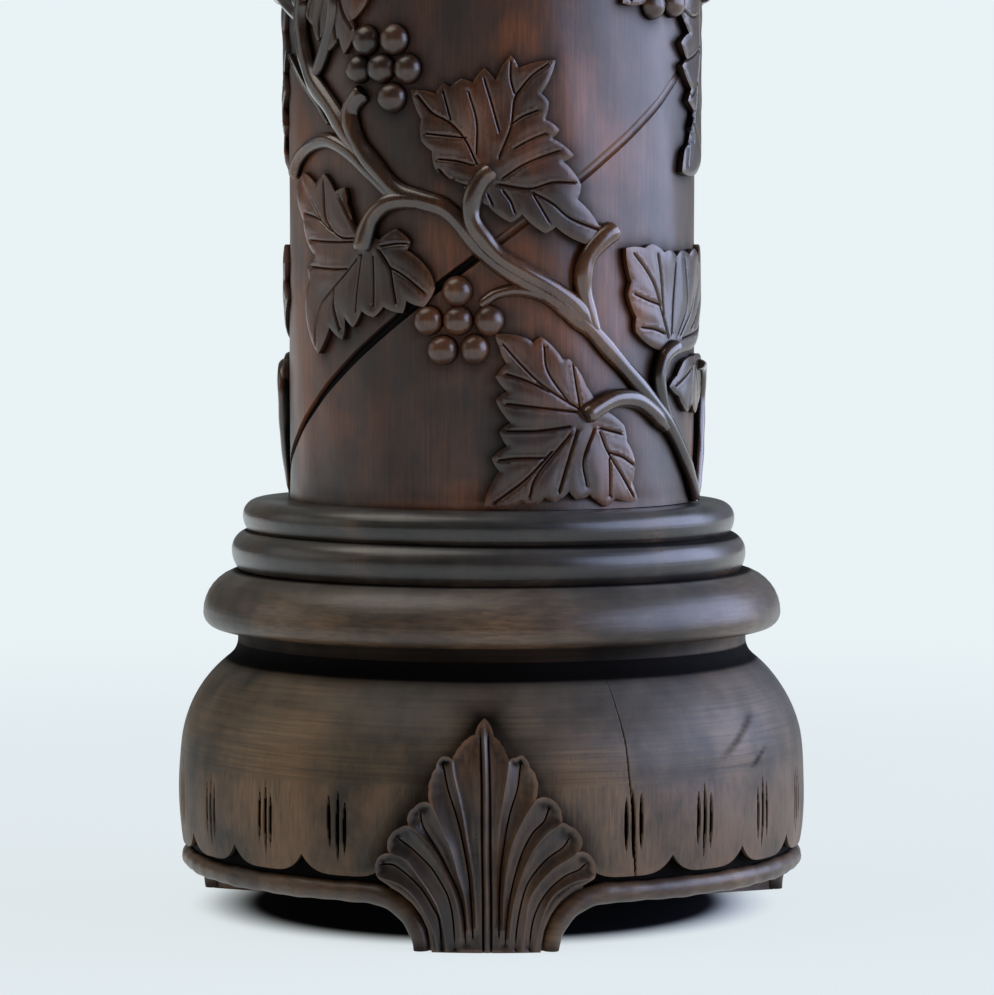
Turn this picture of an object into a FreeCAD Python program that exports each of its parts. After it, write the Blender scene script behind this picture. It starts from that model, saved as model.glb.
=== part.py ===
import FreeCAD, Part
import math
import os

# Carved hardwood pedestal column stand, in millimetres.
# +Z is up and the origin is on the floor, on the column's axis. The front foot points to -Y and +X is
# to its right. An azimuth is an angle about the axis from the front, positive towards +X.

# ---- base bowl: the turned, bulbous block that carries everything ----
BOWL_UNDERSIDE_Z = 24.0
BOWL_EDGE_Z = 31.5          # lower edge of the carved fringe
BOWL_TOP_Z = 140.5
BOWL_EDGE_RADIUS = 154.5
BOWL_BELLY_RADIUS = 156.7
BOWL_BELLY_Z = 60.0
BOWL_SHOULDER_RADIUS = 155.3
BOWL_SHOULDER_Z = 84.0
BOWL_CROWN_ARC = (146.4, 109.0)   # radius and height halfway round the upper curve
BOWL_CROWN_RADIUS = 131.0
BOWL_CROWN_Z = 126.0
NECK_RADIUS = 127.1
NECK_LIP = 1.5

# ---- bead rim: a round moulding let into a rebate under the bowl's edge ----
RIM_CENTRE_RADIUS = 150.0
RIM_CENTRE_Z = 26.3
RIM_TUBE_RADIUS = 5.2
RIM_REBATE_RADIUS = 147.0
RIM_FLOOR_GAP = 0.4         # the rim's turned-down ends stop just above the floor

# ---- scalloped fringe and tally gouges, between each two feet ----
SCALLOPS_PER_BAY = 5
SCALLOP_SPAN = 16.0         # degrees
SCALLOP_RISE = 7.0
SCALLOP_DEPTH = 2.4
GOUGES_PER_SCALLOP = 3
GOUGE_SPACING = 4.0
GOUGE_LENGTH = 30.0
GOUGE_MIDDLE_LENGTH = 38.0
GOUGE_WIDTH = 2.6
GOUGE_CENTRE_Z = 62.0

# ---- feet: three brackets, each with a palmette standing up the bowl's face ----
FOOT_COUNT = 3
FOOT_INNER_RADIUS = 106.0
FOOT_SOLE_RADIUS = 155.0
FOOT_PROUD = 4.0
FOOT_BEND_AZIMUTH = 22.3    # where the rim starts to turn down onto a foot
PALMETTE_TIP_Z = 109.5
PALMETTE_CROWN = (7.5, 100.5)
PALMETTE_NOTCHES = ((13.5, 90.6), (24.0, 70.5), (35.5, 60.5), (44.0, 47.0), (52.0, 33.0))
PALMETTE_LOBES = ((23.5, 87.5), (33.5, 70.5), (43.5, 56.0), (50.5, 43.5))
FLUTE_SOLE_PITCH = 5.6      # spacing of the flutes where they meet at the sole
FLUTE_START_Z = 6.0
FLUTE_SOLE_RADIUS = 2.3
FLUTE_LOBE_RADIUS = 5.0
FLUTE_LOBE_SHARE = 0.86     # how far up its lobe a flute runs
FLUTE_STANDOFF = 0.45       # share of a flute's radius by which its axis stands off the face

# ---- fixings of a foot ----
DOWEL_RADIUS = 5.0
DOWEL_LENGTH = 30.0
DOWEL_CIRCLE_RADIUS = 132.0
DOWEL_AZIMUTH = 7.0
SCREW_RADIUS = 2.5
SCREW_LENGTH = 45.0
SCREW_HEAD_RADIUS = 4.6
SCREW_HEAD_HEIGHT = 3.0
SCREW_SINK = 3.0            # depth of a head above the sole that it is driven from
FOOT_SCREW_CIRCLE_RADIUS = 118.0

# ---- turned rings threaded on the shaft's tenon: height, bottom, nose and top radius, nose height ----
TORUS_RING = (28.5, 127.5, 144.5, 127.5, 7.5)
MIDDLE_RING = (19.0, 125.5, 128.6, 121.5, 9.5)
UPPER_RING = (15.5, 120.5, 123.0, 113.0, 7.5)
CAPITAL_LOWER_RING = (16.5, 115.5, 123.0, 119.5, 9.5)
CAPITAL_MIDDLE_RING = (18.0, 120.0, 128.6, 125.5, 10.0)

# ---- shaft: turned, carved, with a round tenon at each end ----
SHAFT_RADIUS = 101.0
SHAFT_LENGTH = 502.0
TENON_RADIUS = 45.0
TENON_FIT = 0.15            # glue line around a tenon
TENON_IN_BOWL = 60.0
TENON_IN_CAPITAL = 28.0
TENON_END_ROOM = 2.0
HELIX_PITCH = 472.0
HELIX_RADIUS = 2.6          # radius of the groove's round cutter
HELIX_START_AZIMUTH = -86.0
HELIX_START_RISE = 12.0

# ---- carved grapevine ----
VINE_RISE = 240.0           # height of one growth of the vine
VINE_LEVELS = 2
VINE_TURN = -141.0          # degrees from one growth to the next above it
VINE_SIDES = 2              # the same growth front and back
CARVING_ROOT = 1.5          # how far the carving reaches into the shaft's cylinder
LEAF_RELIEF = 4.0
GRAPE_RADIUS = 7.4
GRAPE_PITCH = 14.8
GRAPE_SINK = 1.5            # depth of a grape's centre below the shaft's face
CANE_RADIUS = 4.6
PETIOLE_RADIUS = 3.6
STEM_SINK = 0.8

# ---- capital and top ----
CAPITAL_HEIGHT = 46.0
CAPITAL_NECK_RADIUS = 112.0
CAPITAL_LIP_RADIUS = 150.0
CAPITAL_LIP_HEIGHT = 9.0
TOP_THICKNESS = 27.0
TOP_RADIUS = 165.0
TOP_EDGE_STEP = 6.0
TOP_DOWEL_CIRCLE_RADIUS = 95.0
TOP_DOWEL_COUNT = 3

# ---- lag bolts that draw the tenons home ----
BOLT_RADIUS = 6.0
BOLT_LENGTH = 95.0
BOLT_HEAD_FLAT = 19.0
BOLT_HEAD_HEIGHT = 8.0
CAPITAL_BOLT_LENGTH = 70.0
WASHER_RADIUS = 18.0
WASHER_THICKNESS = 2.5
COUNTERBORE_RADIUS = 19.0
COUNTERBORE_DEPTH = 14.0

# ---- heights that follow ----
SHAFT_FOOT_Z = BOWL_TOP_Z + TORUS_RING[0] + MIDDLE_RING[0] + UPPER_RING[0]
SHAFT_TOP_Z = SHAFT_FOOT_Z + SHAFT_LENGTH
CAPITAL_Z = SHAFT_TOP_Z + CAPITAL_LOWER_RING[0] + CAPITAL_MIDDLE_RING[0]
TOP_BOARD_Z = CAPITAL_Z + CAPITAL_HEIGHT
TENON_LOW_Z = BOWL_TOP_Z - TENON_IN_BOWL
TENON_HIGH_Z = CAPITAL_Z + TENON_IN_CAPITAL
AXIS = FreeCAD.Vector(0, 0, 1)
ORIGIN = FreeCAD.Vector(0, 0, 0)


def profile_point(radius, z):
    return FreeCAD.Vector(radius, 0, z)


def turned(start, segments):
    """A turned solid: the profile from start through segments, each a point or an arc's middle and end."""
    edges = []
    here = profile_point(*start)
    for segment in segments:
        if isinstance(segment[0], tuple):
            middle = profile_point(*segment[0])
            there = profile_point(*segment[1])
            edges.append(Part.Arc(here, middle, there).toShape())
        else:
            there = profile_point(*segment)
            edges.append(Part.LineSegment(here, there).toShape())
        here = there
    edges.append(Part.LineSegment(here, profile_point(*start)).toShape())
    return Part.Face(Part.Wire(edges)).revolve(ORIGIN, AXIS, 360)


def upright(radius, z_low, z_high, x=0.0, y=0.0):
    """A round rod or hole parallel to the axis."""
    return Part.makeCylinder(radius, z_high - z_low, FreeCAD.Vector(x, y, z_low))


def at_azimuth(shape, azimuth):
    """A copy of a shape built at the front, turned about the axis."""
    turned_copy = shape.copy()
    turned_copy.rotate(ORIGIN, AXIS, azimuth)
    return turned_copy


def on_circle(radius, azimuth):
    """x and y of a point at a radius and azimuth."""
    angle = math.radians(azimuth)
    return radius * math.sin(angle), -radius * math.cos(angle)


def foot_azimuth(index):
    return index * 360.0 / FOOT_COUNT


# ---- base bowl ----
def bowl_body():
    return turned(
        (0, BOWL_UNDERSIDE_Z),
        [
            (RIM_REBATE_RADIUS, BOWL_UNDERSIDE_Z),
            (RIM_REBATE_RADIUS, BOWL_EDGE_Z),
            (BOWL_EDGE_RADIUS, BOWL_EDGE_Z),
            ((BOWL_BELLY_RADIUS, BOWL_BELLY_Z), (BOWL_SHOULDER_RADIUS, BOWL_SHOULDER_Z)),
            (BOWL_CROWN_ARC, (BOWL_CROWN_RADIUS, BOWL_CROWN_Z)),
            ((NECK_RADIUS, (BOWL_CROWN_Z + BOWL_TOP_Z) / 2), (NECK_RADIUS + NECK_LIP, BOWL_TOP_Z)),
            (0, BOWL_TOP_Z),
        ],
    )


def fringe_notch():
    """The hollow between two scallops: two quarter rounds that meet in a cusp over the rim."""
    half = BOWL_BELLY_RADIUS * math.radians(SCALLOP_SPAN) / 2
    outside = BOWL_BELLY_RADIUS + SCALLOP_DEPTH
    low = BOWL_EDGE_Z - SCALLOP_DEPTH
    cusp = BOWL_EDGE_Z + SCALLOP_RISE
    shape = [FreeCAD.Vector(x, -outside, z) for x, z in ((-half, low), (half, low), (0, cusp))]
    side = half * (1 - math.sqrt(0.5))
    lift = low + (cusp - low) * (1 - math.sqrt(0.5))
    right = FreeCAD.Vector(side, -outside, lift)
    left = FreeCAD.Vector(-side, -outside, lift)
    wire = Part.Wire(
        [
            Part.LineSegment(shape[0], shape[1]).toShape(),
            Part.Arc(shape[1], right, shape[2]).toShape(),
            Part.Arc(shape[2], left, shape[0]).toShape(),
        ]
    )
    reach = outside - (BOWL_EDGE_RADIUS - SCALLOP_DEPTH)
    return Part.Face(wire).extrude(FreeCAD.Vector(0, reach, 0))


def gouge(length):
    """A spindle, pointed at both ends, that leaves one tally stroke in the bowl's face."""
    face_y = -BOWL_BELLY_RADIUS
    ends = [FreeCAD.Vector(0, face_y, GOUGE_CENTRE_Z + side * length / 2) for side in (-1, 1)]
    belly = FreeCAD.Vector(GOUGE_WIDTH / 2, face_y, GOUGE_CENTRE_Z)
    wire = Part.Wire([Part.Arc(ends[0], belly, ends[1]).toShape(), Part.LineSegment(*ends).toShape()])
    return Part.Face(wire).revolve(ends[0], AXIS, 360)


def fringe_cuts():
    """Every notch and gouge of the bowl's fringe."""
    notch = fringe_notch()
    strokes = [gouge(GOUGE_LENGTH), gouge(GOUGE_MIDDLE_LENGTH)]
    step = math.degrees(GOUGE_SPACING / BOWL_BELLY_RADIUS)
    cuts = []
    for foot in range(FOOT_COUNT):
        bay_middle = foot_azimuth(foot + 0.5)
        for scallop in range(SCALLOPS_PER_BAY):
            middle = bay_middle + (scallop - (SCALLOPS_PER_BAY - 1) / 2) * SCALLOP_SPAN
            cuts.append(at_azimuth(notch, middle - SCALLOP_SPAN / 2))
            for index in range(GOUGES_PER_SCALLOP):
                offset = index - (GOUGES_PER_SCALLOP - 1) / 2
                stroke = strokes[1] if offset == 0 else strokes[0]
                cuts.append(at_azimuth(stroke, middle + offset * step))
        cuts.append(at_azimuth(notch, bay_middle + SCALLOPS_PER_BAY * SCALLOP_SPAN / 2))
    return cuts


# ---- rim ----
def rim_section():
    """The rim's round section, at the front."""
    centre = FreeCAD.Vector(0, -RIM_CENTRE_RADIUS, RIM_CENTRE_Z)
    circle = Part.Circle(centre, FreeCAD.Vector(1, 0, 0), RIM_TUBE_RADIUS)
    return Part.Face(Part.Wire(circle.toShape()))


def rim_bend(side):
    """The quarter turn that brings the rim down a foot's flank; side 1 turns towards +X."""
    pivot = FreeCAD.Vector(0, -RIM_CENTRE_RADIUS, RIM_FLOOR_GAP)
    return rim_section().revolve(pivot, FreeCAD.Vector(0, side, 0), 90)


def rim_between_feet(index, bowl):
    """One bay of the rim, with both of its turned-down ends, seated in the bowl's rebate."""
    start = foot_azimuth(index) + FOOT_BEND_AZIMUTH
    end = foot_azimuth(index + 1) - FOOT_BEND_AZIMUTH
    run = at_azimuth(rim_section().revolve(ORIGIN, AXIS, end - start), start)
    bends = [at_azimuth(rim_bend(-1), start), at_azimuth(rim_bend(1), end)]
    return run.fuse(bends).removeSplitter().cut(bowl)


# ---- feet ----
def palmette_outline():
    """Front view of a foot as a wire: palmette above, concave flanks and flat sole below."""
    bend = math.radians(FOOT_BEND_AZIMUTH)
    rim_x = RIM_CENTRE_RADIUS * math.sin(bend)
    reach = RIM_CENTRE_Z * math.cos(bend)
    quarter = math.sqrt(0.5)
    flank = [(rim_x - reach * quarter, RIM_CENTRE_Z * quarter), (rim_x - reach, 0)]
    right = [(PALMETTE_CROWN, PALMETTE_NOTCHES[0])]
    right += list(zip(PALMETTE_LOBES, PALMETTE_NOTCHES[1:]))
    right.append(((rim_x - 1.0, (PALMETTE_NOTCHES[-1][1] + RIM_CENTRE_Z) / 2), (rim_x, RIM_CENTRE_Z)))
    right.append((flank[0], flank[1]))
    edges = []
    for side in (1, -1):
        here = FreeCAD.Vector(0, 0, PALMETTE_TIP_Z)
        for middle, end in right:
            there = FreeCAD.Vector(side * end[0], 0, end[1])
            edges.append(Part.Arc(here, FreeCAD.Vector(side * middle[0], 0, middle[1]), there).toShape())
            here = there
    sole_half = flank[1][0]
    sole = [FreeCAD.Vector(side * sole_half, 0, 0) for side in (-1, 1)]
    edges.append(Part.LineSegment(*sole).toShape())
    return Part.Wire(Part.__sortEdges__(edges))


def foot_round():
    """The turned body that a foot is cut from: proud of the bowl, and down to the sole."""
    proud = FOOT_PROUD
    return turned(
        (FOOT_INNER_RADIUS, 0),
        [
            (FOOT_SOLE_RADIUS, 0),
            ((FOOT_SOLE_RADIUS + proud / 2, BOWL_EDGE_Z / 2), (BOWL_EDGE_RADIUS + proud, BOWL_EDGE_Z)),
            (
                (BOWL_BELLY_RADIUS + proud, BOWL_BELLY_Z),
                (BOWL_SHOULDER_RADIUS + proud, BOWL_SHOULDER_Z),
            ),
            (
                (BOWL_CROWN_ARC[0] + proud, BOWL_CROWN_ARC[1]),
                (BOWL_CROWN_RADIUS + proud, BOWL_CROWN_Z),
            ),
            (FOOT_INNER_RADIUS, BOWL_CROWN_Z),
        ],
    )


def face_point(x, z):
    """The point of a foot's front face at x and z, near enough to aim a flute."""
    low = FOOT_SOLE_RADIUS
    high = BOWL_BELLY_RADIUS + FOOT_PROUD
    radius = low + (high - low) * min(z / BOWL_BELLY_Z, 1.0)
    fall = max(z - BOWL_SHOULDER_Z, 0.0) / (BOWL_CROWN_Z - BOWL_SHOULDER_Z)
    radius -= (BOWL_SHOULDER_RADIUS - BOWL_CROWN_RADIUS) * fall * fall
    return FreeCAD.Vector(x, -math.sqrt(radius * radius - x * x), z)


def flutes():
    """Round flutes that fan out from the sole, one into each lobe of the palmette."""
    cuts = []
    for index, lobe in enumerate(PALMETTE_LOBES):
        for side in (-1, 1):
            low = face_point(side * (index + 1) * FLUTE_SOLE_PITCH, FLUTE_START_Z)
            high = face_point(side * lobe[0] * FLUTE_LOBE_SHARE, lobe[1] * FLUTE_LOBE_SHARE)
            out_low = low * (1 + FLUTE_STANDOFF * FLUTE_SOLE_RADIUS / low.Length)
            out_high = high * (1 + FLUTE_STANDOFF * FLUTE_LOBE_RADIUS / high.Length)
            run = out_high - out_low
            cone = Part.makeCone(FLUTE_SOLE_RADIUS, FLUTE_LOBE_RADIUS, run.Length, out_low, run)
            cuts.append(cone)
    return cuts


def foot_at_front():
    """The front foot before its fixings are drilled."""
    outline = palmette_outline()
    outline.translate(FreeCAD.Vector(0, -BOWL_BELLY_RADIUS - 2 * FOOT_PROUD, 0))
    depth = BOWL_BELLY_RADIUS + 2 * FOOT_PROUD - FOOT_INNER_RADIUS / 2
    block = Part.Face(outline).extrude(FreeCAD.Vector(0, depth, 0))
    return block.common(foot_round()).cut(flutes())


def foot_dowels_at_front():
    middle_z = BOWL_UNDERSIDE_Z
    dowels = []
    for side in (-1, 1):
        x, y = on_circle(DOWEL_CIRCLE_RADIUS, side * DOWEL_AZIMUTH)
        dowels.append(upright(DOWEL_RADIUS, middle_z - DOWEL_LENGTH / 2, middle_z + DOWEL_LENGTH / 2, x, y))
    return Part.makeCompound(dowels)


def wood_screw(x, y, z, length):
    """A countersunk screw driven upwards, its head's face at z."""
    head_top = z + SCREW_HEAD_HEIGHT
    head = Part.makeCone(SCREW_HEAD_RADIUS, SCREW_RADIUS, SCREW_HEAD_HEIGHT, FreeCAD.Vector(x, y, z))
    point_z = z + length - SCREW_HEAD_HEIGHT
    shank = upright(SCREW_RADIUS, head_top, point_z, x, y)
    point = Part.makeCone(SCREW_RADIUS, 0, SCREW_HEAD_HEIGHT, FreeCAD.Vector(x, y, point_z))
    return head.fuse([shank, point]).removeSplitter()


# ---- turned rings ----
def nose_arc(edge_radius, nose_radius, rise):
    """Start radius, middle radius and middle rise of the arc that swells to a nose from an edge below it."""
    start = max(edge_radius, nose_radius - rise)
    swell = nose_radius - start
    arc_radius = (swell * swell + rise * rise) / (2 * swell)
    half_turn = math.asin(rise / arc_radius) / 2
    middle = nose_radius - arc_radius * (1 - math.cos(half_turn))
    return start, middle, arc_radius * math.sin(half_turn)


def turned_ring(size, z):
    """A ring with a rounded nose, bored for the shaft's tenon, standing at height z."""
    height, bottom, nose, top, nose_height = size
    bore = TENON_RADIUS + TENON_FIT
    nose_z = z + nose_height
    high = z + height
    low_start, low_middle, low_rise = nose_arc(bottom, nose, nose_height)
    high_start, high_middle, high_rise = nose_arc(top, nose, height - nose_height)
    return turned(
        (bore, z),
        [
            (low_start, z),
            ((low_middle, nose_z - low_rise), (nose, nose_z)),
            ((high_middle, nose_z + high_rise), (high_start, high)),
            (bore, high),
        ],
    )


# ---- grapevine ----
# One growth of the vine as (azimuth, height above the shaft's foot) along each stem, as carved.
CANES = (
    (
        (77, 6), (68, 21), (56, 42), (46, 57), (36, 73), (28, 87), (13, 105),
        (-3, 128), (-11, 143), (-27, 153), (-37, 174), (-40, 188), (-36, 200),
    ),
    ((-37, 171), (-48, 193), (-56, 206), (-62, 221), (-64, 244)),
    ((-27, 153), (-38, 167), (-50, 177), (-65, 169), (-69, 162)),
)
PETIOLES = (
    ((28, 87), (10, 112), (-4, 136), (0, 160)),
    ((31, 82), (27, 100), (28, 121), (35, 132)),
    ((-17, 147), (-29, 145), (-34, 125)),
    ((55, 40), (43, 52), (31, 50), (26, 46)),
    ((57, 40), (52, 64), (58, 77)),
    ((28, 83), (15, 102), (2, 103), (-4, 98)),
    ((77, 6), (84, 19), (88, 50)),
)
# Each leaf: azimuth and height of its joint, length, and the way its tip points, clockwise from up.
LEAVES = (
    (0, 160, 56, 10),
    (-34, 125, 54, 215),
    (26, 46, 62, 255),
    (58, 77, 54, 10),
    (76, 240, 72, 185),
    (80, 66, 26, 180),
    (-57, 248, 34, 165),
)
# Each bunch: azimuth and height of its top row, and the grapes in each row.
BUNCHES = (
    (-31, 224, (2, 3, 1)),
    (-9, 104, (1, 3, 2)),
    (55, 243, (2,)),
)
LEAF_SHAPE = (
    (0, 1.00), (9, 0.86), (16, 0.84), (26, 0.58), (38, 0.74), (50, 0.95), (62, 0.74), (76, 0.55),
    (92, 0.66), (108, 0.78), (124, 0.62), (142, 0.52), (160, 0.36), (172, 0.10),
)


def shaft_point(azimuth, height, sink):
    x, y = on_circle(SHAFT_RADIUS - sink, azimuth)
    return FreeCAD.Vector(x, y, SHAFT_FOOT_Z + height)


def stem(route, radius):
    """Round stem along a route: straight rods with a ball at each joint."""
    points = [shaft_point(azimuth, height, STEM_SINK) for azimuth, height in route]
    pieces = [Part.makeSphere(radius, point) for point in points]
    for here, there in zip(points, points[1:]):
        run = there - here
        pieces.append(Part.makeCylinder(radius, run.Length, here, run))
    return pieces[0].fuse(pieces[1:])


def leaf(azimuth, height, length, turn):
    """A lobed vine leaf, cut through the carving's depth at the front and turned to its place."""
    outline = [(angle, share) for angle, share in LEAF_SHAPE]
    outline += [(-angle, share) for angle, share in reversed(LEAF_SHAPE[1:])]
    outside = SHAFT_RADIUS + LEAF_RELIEF
    corners = []
    for angle, share in outline:
        way = math.radians(angle + turn)
        x = length * share * math.sin(way)
        z = length * share * math.cos(way)
        corners.append(FreeCAD.Vector(x, -outside, SHAFT_FOOT_Z + height + z))
    face = Part.Face(Part.makePolygon(corners + corners[:1]))
    return at_azimuth(face.extrude(FreeCAD.Vector(0, outside / 2, 0)), azimuth)


def bunch(azimuth, height, rows):
    """A bunch of grapes in staggered rows."""
    step = math.degrees(GRAPE_PITCH / SHAFT_RADIUS)
    row_drop = GRAPE_PITCH * math.sqrt(0.75) + 1.0
    grapes = []
    for row, count in enumerate(rows):
        for index in range(count):
            place = azimuth + (index - (count - 1) / 2) * step
            grapes.append(Part.makeSphere(GRAPE_RADIUS, shaft_point(place, height - row * row_drop, GRAPE_SINK)))
    return grapes


def leaf_zone():
    """The tube round the shaft in which the leaves lie."""
    outer = upright(SHAFT_RADIUS + LEAF_RELIEF, SHAFT_FOOT_Z, SHAFT_TOP_Z)
    return outer.cut(upright(SHAFT_RADIUS - CARVING_ROOT, SHAFT_FOOT_Z, SHAFT_TOP_Z))


def vine_growths():
    """Every copy of the vine's growth, round the shaft and up it."""
    zone = leaf_zone()
    pieces = [leaf(*place).common(zone) for place in LEAVES]
    pieces += [stem(route, CANE_RADIUS) for route in CANES]
    pieces += [stem(route, PETIOLE_RADIUS) for route in PETIOLES]
    for place in BUNCHES:
        pieces += bunch(*place)
    room = SHAFT_LENGTH - (VINE_LEVELS - 1) * VINE_RISE
    growth = pieces[0].fuse(pieces[1:])
    growth = growth.common(upright(SHAFT_RADIUS + 2 * GRAPE_RADIUS, SHAFT_FOOT_Z, SHAFT_FOOT_Z + room))
    growths = []
    for level in range(VINE_LEVELS):
        for side in range(VINE_SIDES):
            copy = at_azimuth(growth, level * VINE_TURN + side * 360.0 / VINE_SIDES)
            copy.translate(FreeCAD.Vector(0, 0, level * VINE_RISE))
            growths.append(copy)
    return growths


# ---- shaft ----
def helix_groove():
    """The round-bottomed groove that climbs the shaft to the right."""
    length = SHAFT_LENGTH - 2 * HELIX_START_RISE
    path = Part.makeHelix(HELIX_PITCH, length, SHAFT_RADIUS)
    start = FreeCAD.Vector(SHAFT_RADIUS, 0, 0)
    climb = FreeCAD.Vector(0, 2 * math.pi * SHAFT_RADIUS, HELIX_PITCH)
    section = Part.Wire(Part.Circle(start, climb, HELIX_RADIUS).toShape())
    cutter = Part.Wire(path).makePipeShell([section], True, True)
    cutter.rotate(ORIGIN, AXIS, HELIX_START_AZIMUTH - 90)
    cutter.translate(FreeCAD.Vector(0, 0, SHAFT_FOOT_Z + HELIX_START_RISE))
    return cutter


def shaft_body():
    core = upright(SHAFT_RADIUS, SHAFT_FOOT_Z, SHAFT_TOP_Z)
    tenons = upright(TENON_RADIUS, TENON_LOW_Z + TENON_END_ROOM, TENON_HIGH_Z - TENON_END_ROOM)
    return core.cut(helix_groove()).fuse([tenons] + vine_growths())


# ---- capital and top ----
def capital_body():
    """The bell under the top: a cavetto that opens from the neck to a square lip."""
    neck = (CAPITAL_NECK_RADIUS, CAPITAL_Z)
    lip_z = TOP_BOARD_Z - CAPITAL_LIP_HEIGHT
    middle = math.sqrt(0.5)
    sweep = (
        CAPITAL_NECK_RADIUS + (CAPITAL_LIP_RADIUS - CAPITAL_NECK_RADIUS) * (1 - middle),
        CAPITAL_Z + (lip_z - CAPITAL_Z) * middle,
    )
    return turned(
        (0, CAPITAL_Z),
        [
            neck,
            (sweep, (CAPITAL_LIP_RADIUS, lip_z)),
            (CAPITAL_LIP_RADIUS, TOP_BOARD_Z),
            (0, TOP_BOARD_Z),
        ],
    )


def top_board_body():
    """The round top, with a stepped half-round edge."""
    high = TOP_BOARD_Z + TOP_THICKNESS
    step = TOP_EDGE_STEP
    nose_z = (TOP_BOARD_Z + high - step) / 2
    shelf = TOP_RADIUS - 3 * step
    quarter = math.sqrt(0.5)
    return turned(
        (0, TOP_BOARD_Z),
        [
            (TOP_RADIUS - step, TOP_BOARD_Z),
            ((TOP_RADIUS, nose_z), (TOP_RADIUS - step, high - step)),
            (TOP_RADIUS - 2 * step, high - step),
            ((shelf + step * quarter, high - step + step * quarter), (shelf, high)),
            (0, high),
        ],
    )


def top_dowels():
    dowels = []
    for index in range(TOP_DOWEL_COUNT):
        x, y = on_circle(TOP_DOWEL_CIRCLE_RADIUS, index * 360.0 / TOP_DOWEL_COUNT)
        half = DOWEL_LENGTH / 2
        dowels.append(upright(DOWEL_RADIUS, TOP_BOARD_Z - half, TOP_BOARD_Z + half, x, y))
    return Part.makeCompound(dowels)


# ---- lag bolts ----
def hexagon(flat, z_low, z_high):
    corner = flat / math.sqrt(3)
    ring = [FreeCAD.Vector(*on_circle(corner, index * 60), z_low) for index in range(7)]
    return Part.Face(Part.makePolygon(ring)).extrude(FreeCAD.Vector(0, 0, z_high - z_low))


def lag_bolt(washer_z, way, length):
    """A hexagon-headed lag bolt whose head bears on a washer at washer_z; way 1 drives it upwards."""
    head_z = washer_z - way * BOLT_HEAD_HEIGHT
    head = hexagon(BOLT_HEAD_FLAT, min(washer_z, head_z), max(washer_z, head_z))
    end_z = washer_z + way * length
    shank = upright(BOLT_RADIUS, min(washer_z, end_z), max(washer_z, end_z))
    return head.fuse(shank)


def washer(z_low):
    return upright(WASHER_RADIUS, z_low, z_low + WASHER_THICKNESS).cut(
        upright(BOLT_RADIUS, z_low, z_low + WASHER_THICKNESS)
    )


# ---- the assembly ----
def build():
    nodes = {}
    bowl = bowl_body()
    base_seat_z = BOWL_UNDERSIDE_Z + COUNTERBORE_DEPTH
    base_bolt = lag_bolt(base_seat_z - WASHER_THICKNESS, 1, BOLT_LENGTH)
    mortise = upright(TENON_RADIUS + TENON_FIT, TENON_LOW_Z, BOWL_TOP_Z)
    bowl_holes = [mortise, base_bolt, upright(COUNTERBORE_RADIUS, BOWL_UNDERSIDE_Z, base_seat_z)]

    rims = [rim_between_feet(index, bowl) for index in range(FOOT_COUNT)]
    foot = foot_at_front().cut([bowl, rims[0], rims[-1]])
    dowels = foot_dowels_at_front()
    screw_x, screw_y = on_circle(FOOT_SCREW_CIRCLE_RADIUS, 0)
    screw = wood_screw(screw_x, screw_y, SCREW_SINK, SCREW_LENGTH)
    access = upright(SCREW_HEAD_RADIUS, 0, SCREW_SINK, screw_x, screw_y)
    foot = foot.cut([dowels, screw, access])
    for index, place in enumerate(("front", "back_right", "back_left")[:FOOT_COUNT]):
        turn = foot_azimuth(index)
        nodes["foot_" + place] = at_azimuth(foot, turn)
        nodes["foot_%s_dowels" % place] = at_azimuth(dowels, turn)
        nodes["foot_%s_screw" % place] = at_azimuth(screw, turn)
        bowl_holes += [nodes["foot_%s_dowels" % place], nodes["foot_%s_screw" % place]]
    for place, rim in zip(("right", "back", "left"), rims):
        nodes["rim_bead_" + place] = rim
    nodes["base_bowl"] = bowl.cut(bowl_holes + fringe_cuts())
    nodes["base_lag_bolt"] = base_bolt
    nodes["base_bolt_washer"] = washer(base_seat_z - WASHER_THICKNESS)

    ring_z = BOWL_TOP_Z
    for name, size in (
        ("base_torus_ring", TORUS_RING),
        ("base_middle_ring", MIDDLE_RING),
        ("base_upper_ring", UPPER_RING),
    ):
        nodes[name] = turned_ring(size, ring_z)
        ring_z += size[0]
    ring_z = SHAFT_TOP_Z
    for name, size in (
        ("capital_lower_ring", CAPITAL_LOWER_RING),
        ("capital_middle_ring", CAPITAL_MIDDLE_RING),
    ):
        nodes[name] = turned_ring(size, ring_z)
        ring_z += size[0]

    capital_seat_z = TOP_BOARD_Z - COUNTERBORE_DEPTH
    capital_bolt = lag_bolt(capital_seat_z + WASHER_THICKNESS, -1, CAPITAL_BOLT_LENGTH)
    nodes["shaft"] = shaft_body().cut([base_bolt, capital_bolt])

    top_pegs = top_dowels()
    capital_holes = [
        upright(TENON_RADIUS + TENON_FIT, CAPITAL_Z, TENON_HIGH_Z),
        upright(COUNTERBORE_RADIUS, capital_seat_z, TOP_BOARD_Z),
        capital_bolt,
        top_pegs,
    ]
    nodes["capital"] = capital_body().cut(capital_holes)
    nodes["capital_lag_bolt"] = capital_bolt
    nodes["capital_bolt_washer"] = washer(capital_seat_z)
    nodes["top_board"] = top_board_body().cut(top_pegs)
    nodes["top_board_dowels"] = top_pegs
    return nodes


os.makedirs("parts", exist_ok=True)
for node, solid in build().items():
    solid.exportStep("parts/%s.step" % node)
    print("%-24s %3d solids %10.0f mm3 valid %s" % (node, len(solid.Solids), solid.Volume, solid.isValid()))
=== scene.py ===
import math
import bmesh
import bpy
import numpy as np
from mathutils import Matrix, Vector, kdtree
from mathutils.geometry import delaunay_2d_cdt


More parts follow.
